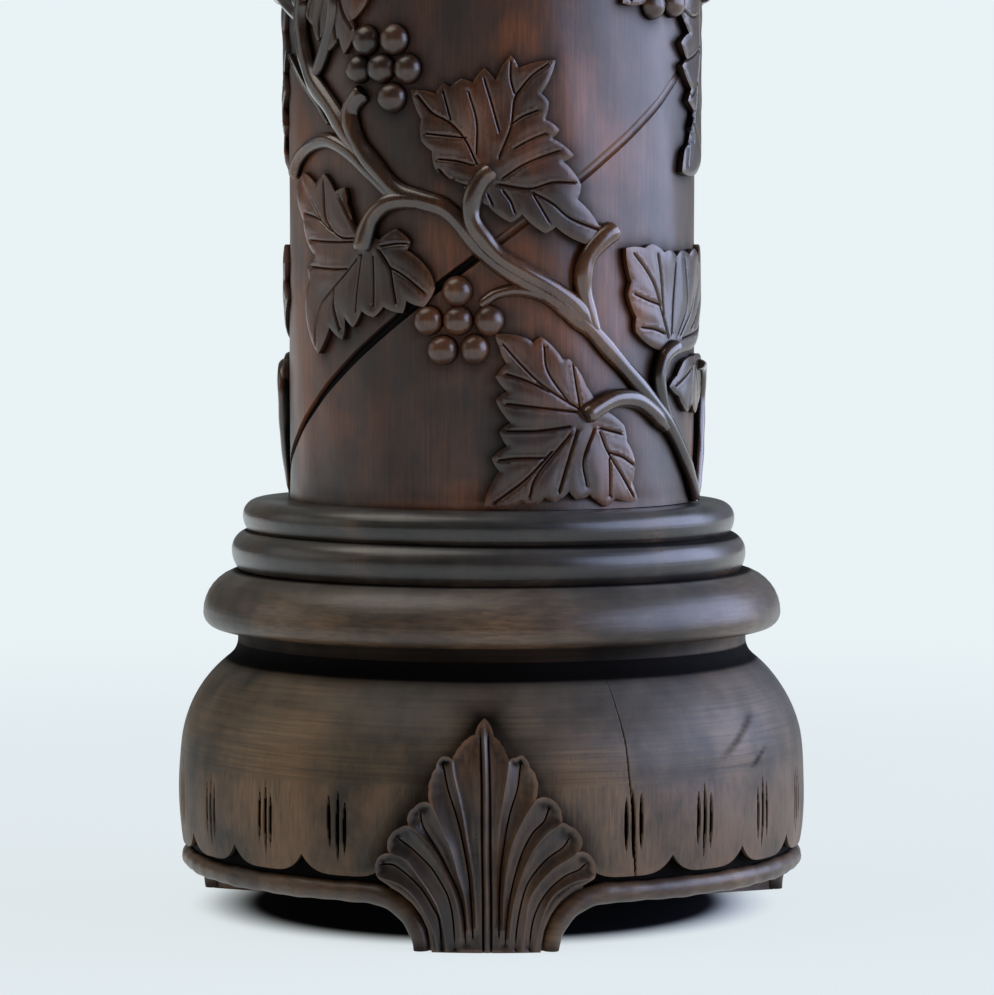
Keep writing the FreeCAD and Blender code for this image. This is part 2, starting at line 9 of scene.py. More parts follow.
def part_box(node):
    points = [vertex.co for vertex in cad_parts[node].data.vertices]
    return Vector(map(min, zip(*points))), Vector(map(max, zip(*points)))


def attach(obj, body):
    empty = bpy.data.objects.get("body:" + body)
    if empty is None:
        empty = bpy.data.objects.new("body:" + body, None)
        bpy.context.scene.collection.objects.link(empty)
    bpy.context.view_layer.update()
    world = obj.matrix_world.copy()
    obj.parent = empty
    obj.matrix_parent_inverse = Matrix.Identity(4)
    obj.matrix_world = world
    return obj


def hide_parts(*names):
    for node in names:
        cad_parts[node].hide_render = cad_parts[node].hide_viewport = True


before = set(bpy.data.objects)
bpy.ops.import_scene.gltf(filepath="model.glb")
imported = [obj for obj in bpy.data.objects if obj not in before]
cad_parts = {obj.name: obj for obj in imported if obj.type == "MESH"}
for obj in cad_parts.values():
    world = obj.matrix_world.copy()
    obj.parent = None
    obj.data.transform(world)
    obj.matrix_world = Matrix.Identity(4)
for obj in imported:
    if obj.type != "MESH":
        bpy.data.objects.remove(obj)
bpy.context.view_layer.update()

# ----------------------------------------
# Base bowl. One thick disc of hardwood, turned to a bulb with a hollow neck, then carved round its skirt
# with a scalloped fringe and groups of three gouge strokes. Stained near black and waxed; the stain has
# worn brown where hands and cloths reach. Lengths here and below are millimetres, and angles degrees.
MM = 0.001
BOWL_UNDERSIDE_Z, BOWL_TOP_Z = (corner[2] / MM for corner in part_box("base_bowl"))
BOWL_EDGE_Z = 31.5
BOWL_EDGE_RADIUS = 154.5
BOWL_BELLY = (156.7, 60.0)
BOWL_SHOULDER = (155.3, 84.0)
BOWL_CROWN_ARC = (146.4, 109.0)
BOWL_CROWN = (131.0, 126.0)
NECK = (127.1, 133.25)
RIM_REBATE_RADIUS = 147.0
FRINGE_RECESS_RADIUS = 150.4
SCALLOP_SPAN = 17.15
SCALLOP_RISE = 9.0
FRINGE_LIFT = 2.5
# The rows of points follow the scallops at the fringe, and are level again this far above it.
FRINGE_FADE = 22.0
FOOT_AZIMUTHS = (0.0, 120.0, 240.0)
STROKE_GROUPS = (
    (26.2, 41.2, 57.7, 74.5, 91.0)
    + (145.5, 162.5, 179.0, 196.0, 213.5)
    + (266.5, 283.7, 300.5, 317.4, 333.3)
)
STROKE_SPACING = 3.9
STROKE_CENTRE_Z = 58.5
STROKE_HALF_LENGTHS = (13.0, 17.5, 13.5)
STROKE_HALF_WIDTH = 1.25
STROKE_DEPTH = 3.4
# Stains on the bowl: azimuth, height, half width in degrees, half height, and lean in degrees per millimetre.
STAINS = ((52.0, 95.0, 1.5, 9.0, 0.62), (57.0, 84.0, 0.9, 4.5, 0.6), (55.3, 56.0, 0.8, 2.6, 0.0))
# The drying crack in the bowl's right front, from the crown to the fringe: azimuth and height.
CRACK = ((25.0, 124), (24.9, 112), (25.2, 98), (25.3, 83.5), (25.7, 72), (26.5, 45), (26.9, 32))
CRACK_TOP_Z = 124
# Its half width in degrees and its depth, each by height.
CRACK_HALF_WIDTHS = ((32, 0.30), (60, 0.34), (80, 0.2), (124, 0.12))
CRACK_DEPTHS = ((32, 1.5), (70, 1.3), (124, 0.4))
# Spacing of the points: across a cut and elsewhere round the bowl, and up its skirt and its crown.
CUT_STEP = 0.42
PLAIN_STEP_DEGREES = 0.55
SKIRT_STEP = 1.35
CROWN_STEP = 1.9
# Half the width of the palmette that covers the bowl's front, by height.
PALMETTE_HALF_WIDTHS = ((34, 50), (52, 44), (72, 30), (92, 16), (109, 3))
TENON_RADIUS = 45.15
TENON_LOW_Z = 80.5
BOLT_WELL = (19.0, 38.0)
AXIS_RADIUS = 0.02
# Faces that meet at more than this angle show a crisp edge.
CREASE = 38.0


def linear(hex_colour):
    """An sRGB hex colour as linear RGBA."""
    channels = [int(hex_colour[place:place + 2], 16) / 255 for place in (1, 3, 5)]
    return [c / 12.92 if c <= 0.04045 else ((c + 0.055) / 1.055) ** 2.4 for c in channels] + [1.0]


def add(tree, kind, inputs=(), output=0, **settings):
    """Adds a shader node with its settings and links, and returns one of its outputs. An input is a number,
    a colour or another node's output."""
    node = tree.nodes.new("ShaderNode" + kind)
    for name, value in settings.items():
        setattr(node, name, value)
    for socket, value in dict(inputs).items():
        if isinstance(value, bpy.types.NodeSocket):
            tree.links.new(value, node.inputs[socket])
        else:
            node.inputs[socket].default_value = value
    return node.outputs[output]


def arc_through(start, middle, end, step=1.5):
    """Points along the arc through three points of a turned outline, (radius, height) each."""
    (ax, ay), (bx, by), (cx, cy) = start, middle, end
    d = 2 * (ax * (by - cy) + bx * (cy - ay) + cx * (ay - by))
    ux = ((ax**2 + ay**2) * (by - cy) + (bx**2 + by**2) * (cy - ay) + (cx**2 + cy**2) * (ay - by)) / d
    uy = ((ax**2 + ay**2) * (cx - bx) + (bx**2 + by**2) * (ax - cx) + (cx**2 + cy**2) * (bx - ax)) / d
    radius = math.hypot(ax - ux, ay - uy)
    turns = [math.atan2(y - uy, x - ux) for x, y in (start, middle, end)]
    sweep = (turns[2] - turns[0]) % math.tau
    if (turns[1] - turns[0]) % math.tau > sweep:
        sweep -= math.tau
    count = max(2, math.ceil(abs(sweep) * radius / step))
    angles = turns[0] + sweep * np.linspace(0, 1, count + 1)
    return np.stack([ux + radius * np.cos(angles), uy + radius * np.sin(angles)], axis=1)


def around(azimuth, radius, height):
    """Points at an azimuth from the front, in degrees towards +X, as x, y, z."""
    angle = np.radians(azimuth)
    return np.stack(np.broadcast_arrays(radius * np.sin(angle), -radius * np.cos(angle), height), axis=-1)


def smooth_step(value, low, high):
    share = np.clip((value - low) / (high - low), 0, 1)
    return share * share * (3 - 2 * share)


def wood_mesh(name, points, faces, material, slot, *nodes):
    """Makes a piece of the stand from points in millimetres, closed up where points meet."""
    mesh = bpy.data.meshes.new(name)
    mesh.from_pydata((np.asarray(points).reshape(-1, 3) * MM).tolist(), [], [list(f) for f in faces])
    work = bmesh.new()
    work.from_mesh(mesh)
    bmesh.ops.remove_doubles(work, verts=work.verts, dist=2e-6)
    bmesh.ops.dissolve_degenerate(work, edges=work.edges, dist=1e-7)
    bmesh.ops.recalc_face_normals(work, faces=work.faces)
    work.to_mesh(mesh)
    work.free()
    mesh.shade_smooth()
    mesh.set_sharp_from_angle(angle=math.radians(CREASE))
    mesh.materials.append(material)
    piece = bpy.data.objects.new(name, mesh)
    bpy.context.scene.collection.objects.link(piece)
    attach(piece, "root")
    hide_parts(*nodes)
    return piece


def grid_faces(rows, columns, closed):
    """Quads of a grid of rows by columns, joined round if it is closed."""
    row = np.arange(rows - 1)[:, None] * columns
    column = np.arange(columns if closed else columns - 1)[None, :]
    after = (column + 1) % columns
    corners = [row + column, row + after, row + columns + after, row + columns + column]
    return np.stack(corners, -1).reshape(-1, 4)


def shade_hollows_and_rub_ridges(piece, rounds, gain, painted_light_and_marks=None):
    """Stores on each point how far it stands proud of, or lies below, the surface round it: hollows are
    painted dark as shade, and rubbing lightens ridges. The function given last adds to that by place, in
    millimetres, and normal."""
    mesh = piece.data
    count = len(mesh.vertices)
    points = np.empty(count * 3)
    mesh.vertices.foreach_get("co", points)
    points = points.reshape(-1, 3)
    normals = np.empty(count * 3)
    mesh.vertices.foreach_get("normal", normals)
    edges = np.empty(len(mesh.edges) * 2, int)
    mesh.edges.foreach_get("vertices", edges)
    one, two = edges.reshape(-1, 2).T
    met = np.bincount(one, minlength=count) + np.bincount(two, minlength=count)
    soft = points.copy()
    for _ in range(rounds):
        total = [
            np.bincount(one, soft[two, axis], count) + np.bincount(two, soft[one, axis], count)
            for axis in range(3)
        ]
        soft = soft * 0.5 + np.stack(total, 1) / np.maximum(met, 1)[:, None] * 0.5
    proud = ((points - soft) * normals.reshape(-1, 3)).sum(1) / MM * gain
    if painted_light_and_marks:
        proud = np.clip(proud, -0.6, 0.6) + painted_light_and_marks(points / MM, normals.reshape(-1, 3))
    # The stored value carries painted shade and painted light as well as stains and rubbing.
    mesh.attributes.new("wear_and_painted_light", "FLOAT", "POINT").data.foreach_set("value", np.clip(proud, -1, 1))


# Walnut-like hardwood under spirit stain and wax: a dark, slightly red brown with fine streaks along the
# grain, open pores, and clouds where the stain took unevenly. It is painted black as shade in its hollows and
# other shaded places, and black where the bowl is stained; grey-brown on rubbed edges and where light is
# painted on; and grey with dust on upward faces. Pores and lathe lines are drawn coarser than real ones, so
# that they show.
SHADE_AND_STAIN_BLACK = "#060404"
RUBBED_WOOD_AND_PAINTED_LIGHT = "#765840"
DUST = "#767773"
DUST_IN_SHADE_AND_STAIN = "#0b0a0a"
CLOUD_SIZE = (70, 70, 90)
PATCH_SIZE = (22, 22, 34)
PORE_SHARE = 0.45
ROUND_STREAK = (60, 60, 1.3)
LATHE_LINE = (250, 250, 1.6)


def stained_hardwood(
    name, grain, stain, clear, worn, warmth=0.5, gloss=0.42, turning=0.0, wax=0.2, dust=0.0, scraped_to=0.0
):
    """grain is the length of a streak along X, Y and Z in millimetres; turning is the depth of lathe lines;
    dust is its share on an upward face; above the height scraped_to, where given, the streaks run round."""
    material = bpy.data.materials.new(name)
    material.use_nodes = True
    tree = material.node_tree
    shader = tree.nodes["Principled BSDF"]
    place = add(tree, "TexCoord", output="Object")

    patterns = {
        "streak": (grain, 5.0, 0.62),
        "pore": ([length * PORE_SHARE for length in grain], 2.0, 0.5),
        "cloud": (CLOUD_SIZE, 4.0, 0.55),
        "patch": (PATCH_SIZE, 5.0, 0.6),
    }
    if scraped_to:
        patterns["round streak"] = (ROUND_STREAK, 5.0, 0.62)
    if turning:
        patterns["lathe line"] = (LATHE_LINE, 3.0, 0.5)
    for pattern, (lengths, detail, roughness) in patterns.items():
        scaled = add(tree, "Mapping", {"Vector": place, "Scale": [1 / (length * MM) for length in lengths]})
        grading = {"Vector": scaled, "Scale": 1.0, "Detail": detail, "Roughness": roughness}
        patterns[pattern] = add(tree, "TexNoise", grading)
    streak, pore, cloud, patch = (patterns[pattern] for pattern in ("streak", "pore", "cloud", "patch"))
    if scraped_to:
        limits = {"From Min": (scraped_to - 1.5) * MM, "From Max": (scraped_to + 1.5) * MM}
        turned = add(tree, "MapRange", {"Value": add(tree, "SeparateXYZ", {0: place}, "Z"), **limits})
        both = {"Factor": turned, "A": streak, "B": patterns["round streak"]}
        streak = add(tree, "Mix", both, "Result", data_type="RGBA")
    tone = add(tree, "Math", {0: cloud, 1: 0.6}, operation="MULTIPLY")
    tone = add(tree, "Math", {0: patch, 1: 0.4, 2: tone}, operation="MULTIPLY_ADD")
    wear_and_painted_light = add(tree, "Attribute", output="Fac", attribute_name="wear_and_painted_light")
    upward = add(tree, "SeparateXYZ", {0: add(tree, "NewGeometry", output="Normal")}, "Z")

    # Each level: what it is read from, from where to where, and what it gives at either end.
    levels = {
        "clear": (tone, 0.40, 0.60, 0.0, 1.0),
        "worn": (cloud, 0.50, 0.66, 0.0, warmth),
        "streak": (streak, 0.34, 0.66, 0.62, 1.36),
        "pore": (pore, 0.30, 0.40, 0.5, 1.0),
        "hollow": (wear_and_painted_light, -0.02, -0.60, 0.0, 1.0),
        "rub": (wear_and_painted_light, 0.10, 0.80, 0.0, 0.55),
        "rub patch": (patch, 0.36, 0.60, 0.0, 1.0),
        "dust": (upward, 0.1, 0.8, 0.0, dust),
        "dust patch": (patch, 0.3, 0.6, 0.4, 1.0),
        "dull": (tone, 0.35, 0.65, gloss + 0.10, gloss - 0.05),
    }
    for level, (value, low, high, start, end) in levels.items():
        limits = {"Value": value, "From Min": low, "From Max": high, "To Min": start, "To Max": end}
        levels[level] = add(tree, "MapRange", limits)
    for level in ("rub", "dust"):
        patchy = {0: levels[level], 1: levels[level + " patch"]}
        levels[level] = add(tree, "Math", patchy, operation="MULTIPLY")
    hollow = levels["hollow"]

    dusting = {"Factor": hollow, "A": linear(DUST), "B": linear(DUST_IN_SHADE_AND_STAIN)}
    dusting = add(tree, "Mix", dusting, "Result", data_type="RGBA")
    colour = linear(stain)
    # Painted shade and the bowl's stains mix in black through the hollow level; rubbing and painted light mix
    # in through the rub level.
    for share, over, kind in (
        (levels["clear"], linear(clear), "MIX"),
        (levels["worn"], linear(worn), "MIX"),
        (1.0, levels["streak"], "MULTIPLY"),
        (0.7, levels["pore"], "MULTIPLY"),
        (hollow, linear(SHADE_AND_STAIN_BLACK), "MIX"),
        (levels["rub"], linear(RUBBED_WOOD_AND_PAINTED_LIGHT), "MIX"),
        (levels["dust"], dusting, "MIX"),
    ):
        layers = {"Factor": share, "A": colour, "B": over}
        colour = add(tree, "Mix", layers, "Result", data_type="RGBA", blend_type=kind)
    tree.links.new(colour, shader.inputs["Base Color"])

    dull = {0: hollow, 1: 0.25, 2: levels["dull"]}
    dull = add(tree, "Math", dull, operation="MULTIPLY_ADD", use_clamp=True)
    tree.links.new(dull, shader.inputs["Roughness"])
    matt = add(tree, "Math", {0: hollow, 1: levels["dust"]}, operation="ADD", use_clamp=True)
    for socket, level in (("Specular IOR Level", 0.5), ("Coat Weight", wax)):
        shine = add(tree, "MapRange", {"Value": matt, "To Min": level, "To Max": level * 0.12})
        tree.links.new(shine, shader.inputs[socket])
    shader.inputs["Coat Roughness"].default_value = gloss

    relief = [(streak, 0.10), (levels["pore"], 0.06), (patch, 0.7)]
    if turning:
        relief.append((patterns["lathe line"], turning))
    height = 0.0
    for pattern, depth in relief:
        height = add(tree, "Math", {0: pattern, 1: depth, 2: height}, operation="MULTIPLY_ADD")
    bump = add(tree, "Bump", {"Height": height, "Strength": 0.5, "Distance": 1.0 * MM})
    tree.links.new(bump, shader.inputs["Normal"])
    return material


# The bowl: dull grey-brown, scraped along the grain on its skirt and lathe-turned and dusty on its crown.
bowl_wood = stained_hardwood(
    "stained_hardwood_turned_bowl",
    (1.5, 1.5, 16.0),
    "#2a2114",
    "#54432e",
    "#6c543a",
    warmth=0.6,
    gloss=0.5,
    turning=0.12,
    wax=0.08,
    dust=0.36,
    scraped_to=77.0,
)

bowl_outline = np.concatenate(
    [
        arc_through((BOWL_EDGE_RADIUS, BOWL_EDGE_Z), BOWL_BELLY, BOWL_SHOULDER),
        arc_through(BOWL_SHOULDER, BOWL_CROWN_ARC, BOWL_CROWN)[1:],
        arc_through(BOWL_CROWN, NECK, (NECK[0] + 1.5, BOWL_TOP_Z))[1:],
    ]
)


def bowl_radius(height):
    return np.interp(height, bowl_outline[:, 1], bowl_outline[:, 0])


def from_foot(azimuth):
    """Degrees from the nearest foot, signed."""
    return (azimuth + 60.0) % 120.0 - 60.0


def fringe_edge(azimuth):
    """Height of the fringe's scalloped edge: nearly flat bottoms that rise sharply to each cusp."""
    share = (60.0 - np.abs(from_foot(azimuth))) / SCALLOP_SPAN
    offset = 2 * np.abs(share - np.round(share))
    return BOWL_EDGE_Z + FRINGE_LIFT + SCALLOP_RISE * offset**4


chisel = np.random.default_rng(7)
strokes = []
for middle in STROKE_GROUPS:
    for index, half_length in enumerate(STROKE_HALF_LENGTHS):
        slip = chisel.normal(0, 1, 3)
        place = middle + math.degrees(((index - 1) * STROKE_SPACING + 0.25 * slip[0]) / BOWL_BELLY[0])
        strokes.append((place, STROKE_CENTRE_Z + 1.0 * slip[1], half_length, 0.014 * slip[2]))

stroke_step = math.degrees(CUT_STEP / BOWL_BELLY[0])
fine = np.concatenate([stroke[0] + stroke_step * np.arange(-4, 5) for stroke in strokes])
cusps = [foot + 60.0 + (k - 2.5) * SCALLOP_SPAN for foot in FOOT_AZIMUTHS for k in range(6)]
beside_cusp = stroke_step * np.array([-6, -4, -3, -2, -1, 0, 1, 2, 3, 4, 6])
fine = np.concatenate([fine] + [cusp + beside_cusp for cusp in cusps])
crack_azimuths, crack_heights = np.array(CRACK, float)[::-1].T
across_crack = np.arange(24.6, 27.3, 0.11)
fine = np.concatenate([fine, across_crack])
plain = np.arange(0, 360, PLAIN_STEP_DEGREES)
gap = np.abs((plain[:, None] - fine[None, :] + 180) % 360 - 180).min(1)
columns = np.unique(np.round(np.concatenate([fine % 360, plain[gap > stroke_step]]), 4))

skirt = np.arange(BOWL_EDGE_Z, BOWL_SHOULDER[1], SKIRT_STEP)
upper = np.arange(BOWL_SHOULDER[1], BOWL_TOP_Z + 0.01, CROWN_STEP)
upper[-1] = BOWL_TOP_Z
levels = np.concatenate([skirt, upper])[:, None]
azimuth = columns[None, :]
edge = fringe_edge(azimuth)
lift = np.clip(1 - (levels - BOWL_EDGE_Z) / FRINGE_FADE, 0, 1)
height = levels + (edge - BOWL_EDGE_Z) * lift
radius = bowl_radius(height) + 0 * azimuth
for place, centre, half_length, lean in strokes:
    near = np.abs((columns - place + 180) % 360 - 180) < 1.2
    across = np.radians((columns[near] - place + 180) % 360 - 180)[None, :] * BOWL_BELLY[0]
    share = (height[:, near] - centre) / half_length
    across = across - lean * share * half_length
    taper = np.clip(1 - share**2, 0, 1) ** 0.75
    cut = np.clip(1 - np.abs(across) / np.maximum(STROKE_HALF_WIDTH * taper, 1e-6), 0, 1)
    radius[:, near] -= STROKE_DEPTH * taper * cut
waves = 0.25 * np.sin(np.radians(azimuth * 3 + 40)) + 0.15 * np.sin(np.radians(azimuth * 11) + height / 9)
radius += waves * smooth_step(height, 40, 70) * (1 - smooth_step(height, 110, 130))
crack = np.abs(azimuth - np.interp(height, crack_heights, crack_azimuths) - 0.05 * np.sin(height * 1.7))
crack_width = np.interp(height, *np.transpose(CRACK_HALF_WIDTHS))
crack_depth = np.interp(height, *np.transpose(CRACK_DEPTHS)) * (height < CRACK_TOP_Z)
radius -= crack_depth * np.clip(1 - crack / crack_width, 0, 1)

socket = [(AXIS_RADIUS, TENON_LOW_Z), (TENON_RADIUS, TENON_LOW_Z), (TENON_RADIUS, BOWL_TOP_Z)]
inside = [around(columns, r, z) for r, z in socket]
face = [around(columns, radius[k], height[k]) for k in range(len(levels))][::-1]
under_edge = edge[0]
step_in = [
    around(columns, (BOWL_EDGE_RADIUS + FRINGE_RECESS_RADIUS) / 2, under_edge + 0.15),
    around(columns, FRINGE_RECESS_RADIUS, under_edge + 0.9),
    around(columns, FRINGE_RECESS_RADIUS, BOWL_EDGE_Z),
]
underside = [
    (RIM_REBATE_RADIUS, BOWL_EDGE_Z),
    (RIM_REBATE_RADIUS, BOWL_UNDERSIDE_Z),
    (BOLT_WELL[0], BOWL_UNDERSIDE_Z),
    BOLT_WELL,
    (AXIS_RADIUS, BOLT_WELL[1]),
]
below = [around(columns, r, z) for r, z in underside]
rows = inside + face + step_in + below
faces = grid_faces(len(rows), len(columns), True)
bowl = wood_mesh("base_bowl_carved", np.stack(rows), faces, bowl_wood, "turned_wood", "base_bowl")


def bowl_painted_light_and_stains(points, normals):
    """Painted shade under the fringe and in the cuts; a black neck with painted light on its right; darker
    round the palmettes; cloudy on the crown; a rubbed skirt and stains.
    """
    x, y, z = points.T
    turn = np.degrees(np.arctan2(x, -y))
    reach = np.hypot(x, y)
    drift = 4 * np.sin(np.radians(turn * 5)) + 2.5 * np.sin(np.radians(turn * 13 + 50))
    # Painted shade in the recess under the fringe.
    dark = -2.5 * ((reach < FRINGE_RECESS_RADIUS + 2.3) & (z < 48))
    # The neck is black, and painted lighter on its right, where the light from the right falls.
    dark -= 0.8 * smooth_step(z, 125.5, 128.5) * (1 - 0.3 * smooth_step(turn, 25, 60))
    half = np.interp(z, *np.transpose(PALMETTE_HALF_WIDTHS))
    beside = np.maximum(np.abs(from_foot(turn)) * np.radians(reach) - half, 0)
    away = np.hypot(beside, np.maximum(z - PALMETTE_HALF_WIDTHS[-1][0], 0))
    dark -= 0.5 * np.exp(-np.clip(away + drift * 0.5, 0, None) / 9.0)
    cloudy = 0.6 + 0.4 * np.cos(np.radians(turn + 15))
    dark -= 0.10 * smooth_step(z, 77, 80) + 0.24 * smooth_step(z + drift, 90, 116) * cloudy
    dark += 0.50 * (1 - smooth_step(z + drift * 0.4, 74, 79)) * smooth_step(away, 8, 20)
    for spot_turn, spot_z, width, tall, lean in STAINS:
        across = (turn - spot_turn - lean * (z - spot_z)) / width
        dark -= 0.42 * np.exp(-(across**2) - ((z - spot_z) / tall) ** 4)
    # Painted shade in the gouge strokes and the crack.
    cut = np.where((z > 36) & (z < 123) & (reach > FRINGE_RECESS_RADIUS - 25), bowl_radius(z) - reach, 0)
    cut *= (z > 84) | (reach > FRINGE_RECESS_RADIUS + 0.1)
    return dark - 2.0 * smooth_step(cut, 0.45, 0.95)


shade_hollows_and_rub_ridges(bowl, 10, 1.6, bowl_painted_light_and_stains)

# ----------------------------------------
# Rim. A half-round bead of the same wood, bent round under the fringe in three bays. Each end turns down
# a foot's flank to the floor. Rubbed lighter along its top, where it is dusted and kicked.
RIM_CENTRE_RADIUS = 150.0
RIM_CENTRE_Z = 26.3
RIM_TUBE_RADIUS = 5.2
RIM_FLOOR_GAP = 0.4
FOOT_BEND_AZIMUTH = 22.3
BEND_REACH = 28.8
BEAD_END_SHARE = 0.72


def tube(route, widths, heights, outward, sides=20):
    """A swept round moulding: route points, half width and half height at each, and the way out of the
    wood."""
    route = np.asarray(route, float)
    ahead = np.gradient(route, axis=0)
    ahead /= np.linalg.norm(ahead, axis=1, keepdims=True)
    across = np.cross(ahead, outward)
    across /= np.linalg.norm(across, axis=1, keepdims=True)
    out = np.cross(across, ahead)
    turn = np.arange(sides) * math.tau / sides
    ring = (
        np.cos(turn)[None, :, None] * across[:, None, :] * np.asarray(widths)[:, None, None]
        + np.sin(turn)[None, :, None] * out[:, None, :] * np.asarray(heights)[:, None, None]
    )
    points = route[:, None, :] + ring
    count = len(route)
    ends = np.stack([np.repeat(route[:1], sides, 0), np.repeat(route[-1:], sides, 0)])
    points = np.concatenate([ends[:1], points, ends[1:]])
    return points.reshape(-1, 3), grid_faces(count + 2, sides, True)


def bead_painted_shade(points, normals):
    """Painted shade behind the bead, along the bowl's edge, and at its ends near the floor."""
    reach = np.hypot(points[:, 0], points[:, 1])
    inward = 1 - smooth_step(reach, RIM_CENTRE_RADIUS - 0.5, RIM_CENTRE_RADIUS + 3)
    return -0.9 * inward * smooth_step(points[:, 2], 25, 30) - 0.4 * (1 - smooth_step(points[:, 2], 1, 7))


bead_wood = stained_hardwood(
    "stained_hardwood_bead", (8.0, 8.0, 2.0), "#33241a", "#5a4531", "#6e5338", gloss=0.42
)
for foot, place in zip(FOOT_AZIMUTHS, ("right", "back", "left")):
    start = foot + FOOT_BEND_AZIMUTH
    end = foot + 120.0 - FOOT_BEND_AZIMUTH
    run = around(np.arange(start, end + 0.01, 0.75), RIM_CENTRE_RADIUS, RIM_CENTRE_Z)
    bends = []
    for azimuth, side in ((start, -1), (end, 1)):
        turn = np.radians(np.linspace(2, 90, 26))
        reach = BEND_REACH * np.sin(turn)
        drop = (RIM_CENTRE_Z - RIM_FLOOR_GAP) * np.cos(turn) + RIM_FLOOR_GAP
        tangent = np.array([math.cos(math.radians(azimuth)), math.sin(math.radians(azimuth)), 0.0])
        root = around(azimuth, RIM_CENTRE_RADIUS, 0.0)
        bends.append(root + side * reach[:, None] * tangent + drop[:, None] * np.array([0, 0, 1.0]))
    route = np.concatenate([bends[0][::-1], run, bends[1]])
    out = route * [1, 1, 0]
    out /= np.linalg.norm(out, axis=1, keepdims=True)
    hand = 1 + 0.035 * np.sin(np.arange(len(route)) * 0.31) + 0.03 * np.sin(np.arange(len(route)) * 0.83)
    hand *= np.interp(route[:, 2], (0, RIM_CENTRE_Z - 3), (BEAD_END_SHARE, 1))
    points, faces = tube(route, RIM_TUBE_RADIUS * 0.98 * hand, RIM_TUBE_RADIUS * hand, out)
    points[:, 2] = np.maximum(points[:, 2], RIM_FLOOR_GAP)
    node = "rim_bead_" + place
    rim = wood_mesh(node + "_moulding", points, faces, bead_wood, "bead_wood", node)

    shade_hollows_and_rub_ridges(rim, 12, 0.0, bead_painted_shade)

# ----------------------------------------
# Feet. Three brackets sawn from the same wood and glued under the bowl. Each front is carved as a palmette
# of nine hollow lobes that stands up the bowl's face, with a sharp midrib down to the sole.
FOOT_FACE_PROUD = 4.6
FOOT_SOLE_FACE_RADIUS = 150.6
FOOT_BACK_RADIUS = 106.0
FOOT_HALF_TOP = 45.0
FOOT_HALF_SOLE = 31.2
# Each flank is a hollow quarter round about this centre.
FLANK_CENTRE = (-57.0, 0.4)
FLANK_RADIUS = 26.0
LOBE_DEPTH = 3.0
LOBE_DEPTH_AT_SOLE = 1.5
PALMETTE_LOBES = (
    (-1, 109.4), (-5.4, 102), (-9.1, 100.2), (-12.3, 96.9), (-14.6, 93.6), (-16, 90.8), (-19.3, 92.2),
    (-21.6, 91.7), (-23.4, 87), (-25.7, 82.4), (-26.7, 76.8), (-25.7, 70.3), (-29.4, 71.2), (-33.6, 68.3),
    (-36.4, 64.9), (-35.9, 59.9), (-41.1, 58.3), (-44.8, 54.9), (-46.2, 50.7), (-45.3, 46.5), (-49.5, 45.4),
    (-51.8, 42.1), (-52.3, 38.8), (-50.9, 34.2),
)
PALMETTE_LOBES_RIGHT = (
    (51.1, 34.4), (51.6, 39.9), (50.2, 43.7), (46.9, 47.1), (43.2, 47.3), (45.1, 52.3), (43.2, 56.5),
    (39, 59.9), (35.3, 61.4), (35.3, 65.1), (33.9, 69.3), (29.3, 73.1), (25.1, 73.2), (22.3, 71.4),
    (24.2, 76.9), (23.7, 82.5), (20.9, 87.1), (17.7, 92.7), (14.5, 91.8), (10.8, 90.5), (9.8, 93.3),
    (7.5, 97.4), (3.8, 101.1), (-1, 109.4),
)
PALMETTE_STEM = (
    (-50.9, 34.2), (-46, 31), (-41, 28), (-35, 23), (-31, 17.5), (-28, 11), (-26.8, 4), (-26.5, 0),
    (-13, 0), (0, 0), (13, 0), (26.5, 0), (26.8, 4), (28, 11), (31, 18), (35.5, 24.5), (42, 30), (47, 32),
    (51.1, 34.4),
)
PALMETTE_RIDGES = (
    ((-16, 91), (-15, 84), (-13, 76), (-11, 67), (-9, 55), (-7, 43), (-5.5, 30), (-4.5, 12)),
    ((-25.5, 70.5), (-23, 65), (-20, 58), (-16, 49), (-13, 37), (-10, 26), (-8.5, 11)),
    ((-36, 60), (-32, 57), (-24, 48), (-19, 37), (-16, 30), (-13, 19), (-12, 7)),
    ((-45, 46.5), (-38, 44), (-32, 36), (-26, 27), (-22, 18), (-19.5, 2)),
    ((-50.5, 35), (-41, 32), (-34, 26), (-28, 16), (-24.6, 7), (-23.8, 1)),
    ((11, 90.5), (10, 83), (8, 71), (6.5, 61), (5.5, 49), (5, 34), (4.6, 12)),
    ((22.5, 71), (18, 64), (14, 56), (11.5, 49), (10, 41), (8.6, 30), (8, 11)),
    ((35.5, 61.5), (26, 54), (20, 45), (16, 34), (13, 22), (11.5, 7)),
    ((43, 47), (32, 40), (26, 34), (21, 26), (19.5, 17), (18, 2)),
    ((50.5, 35), (41, 33), (32, 27), (27.5, 18), (25, 7), (24, 1)),
)
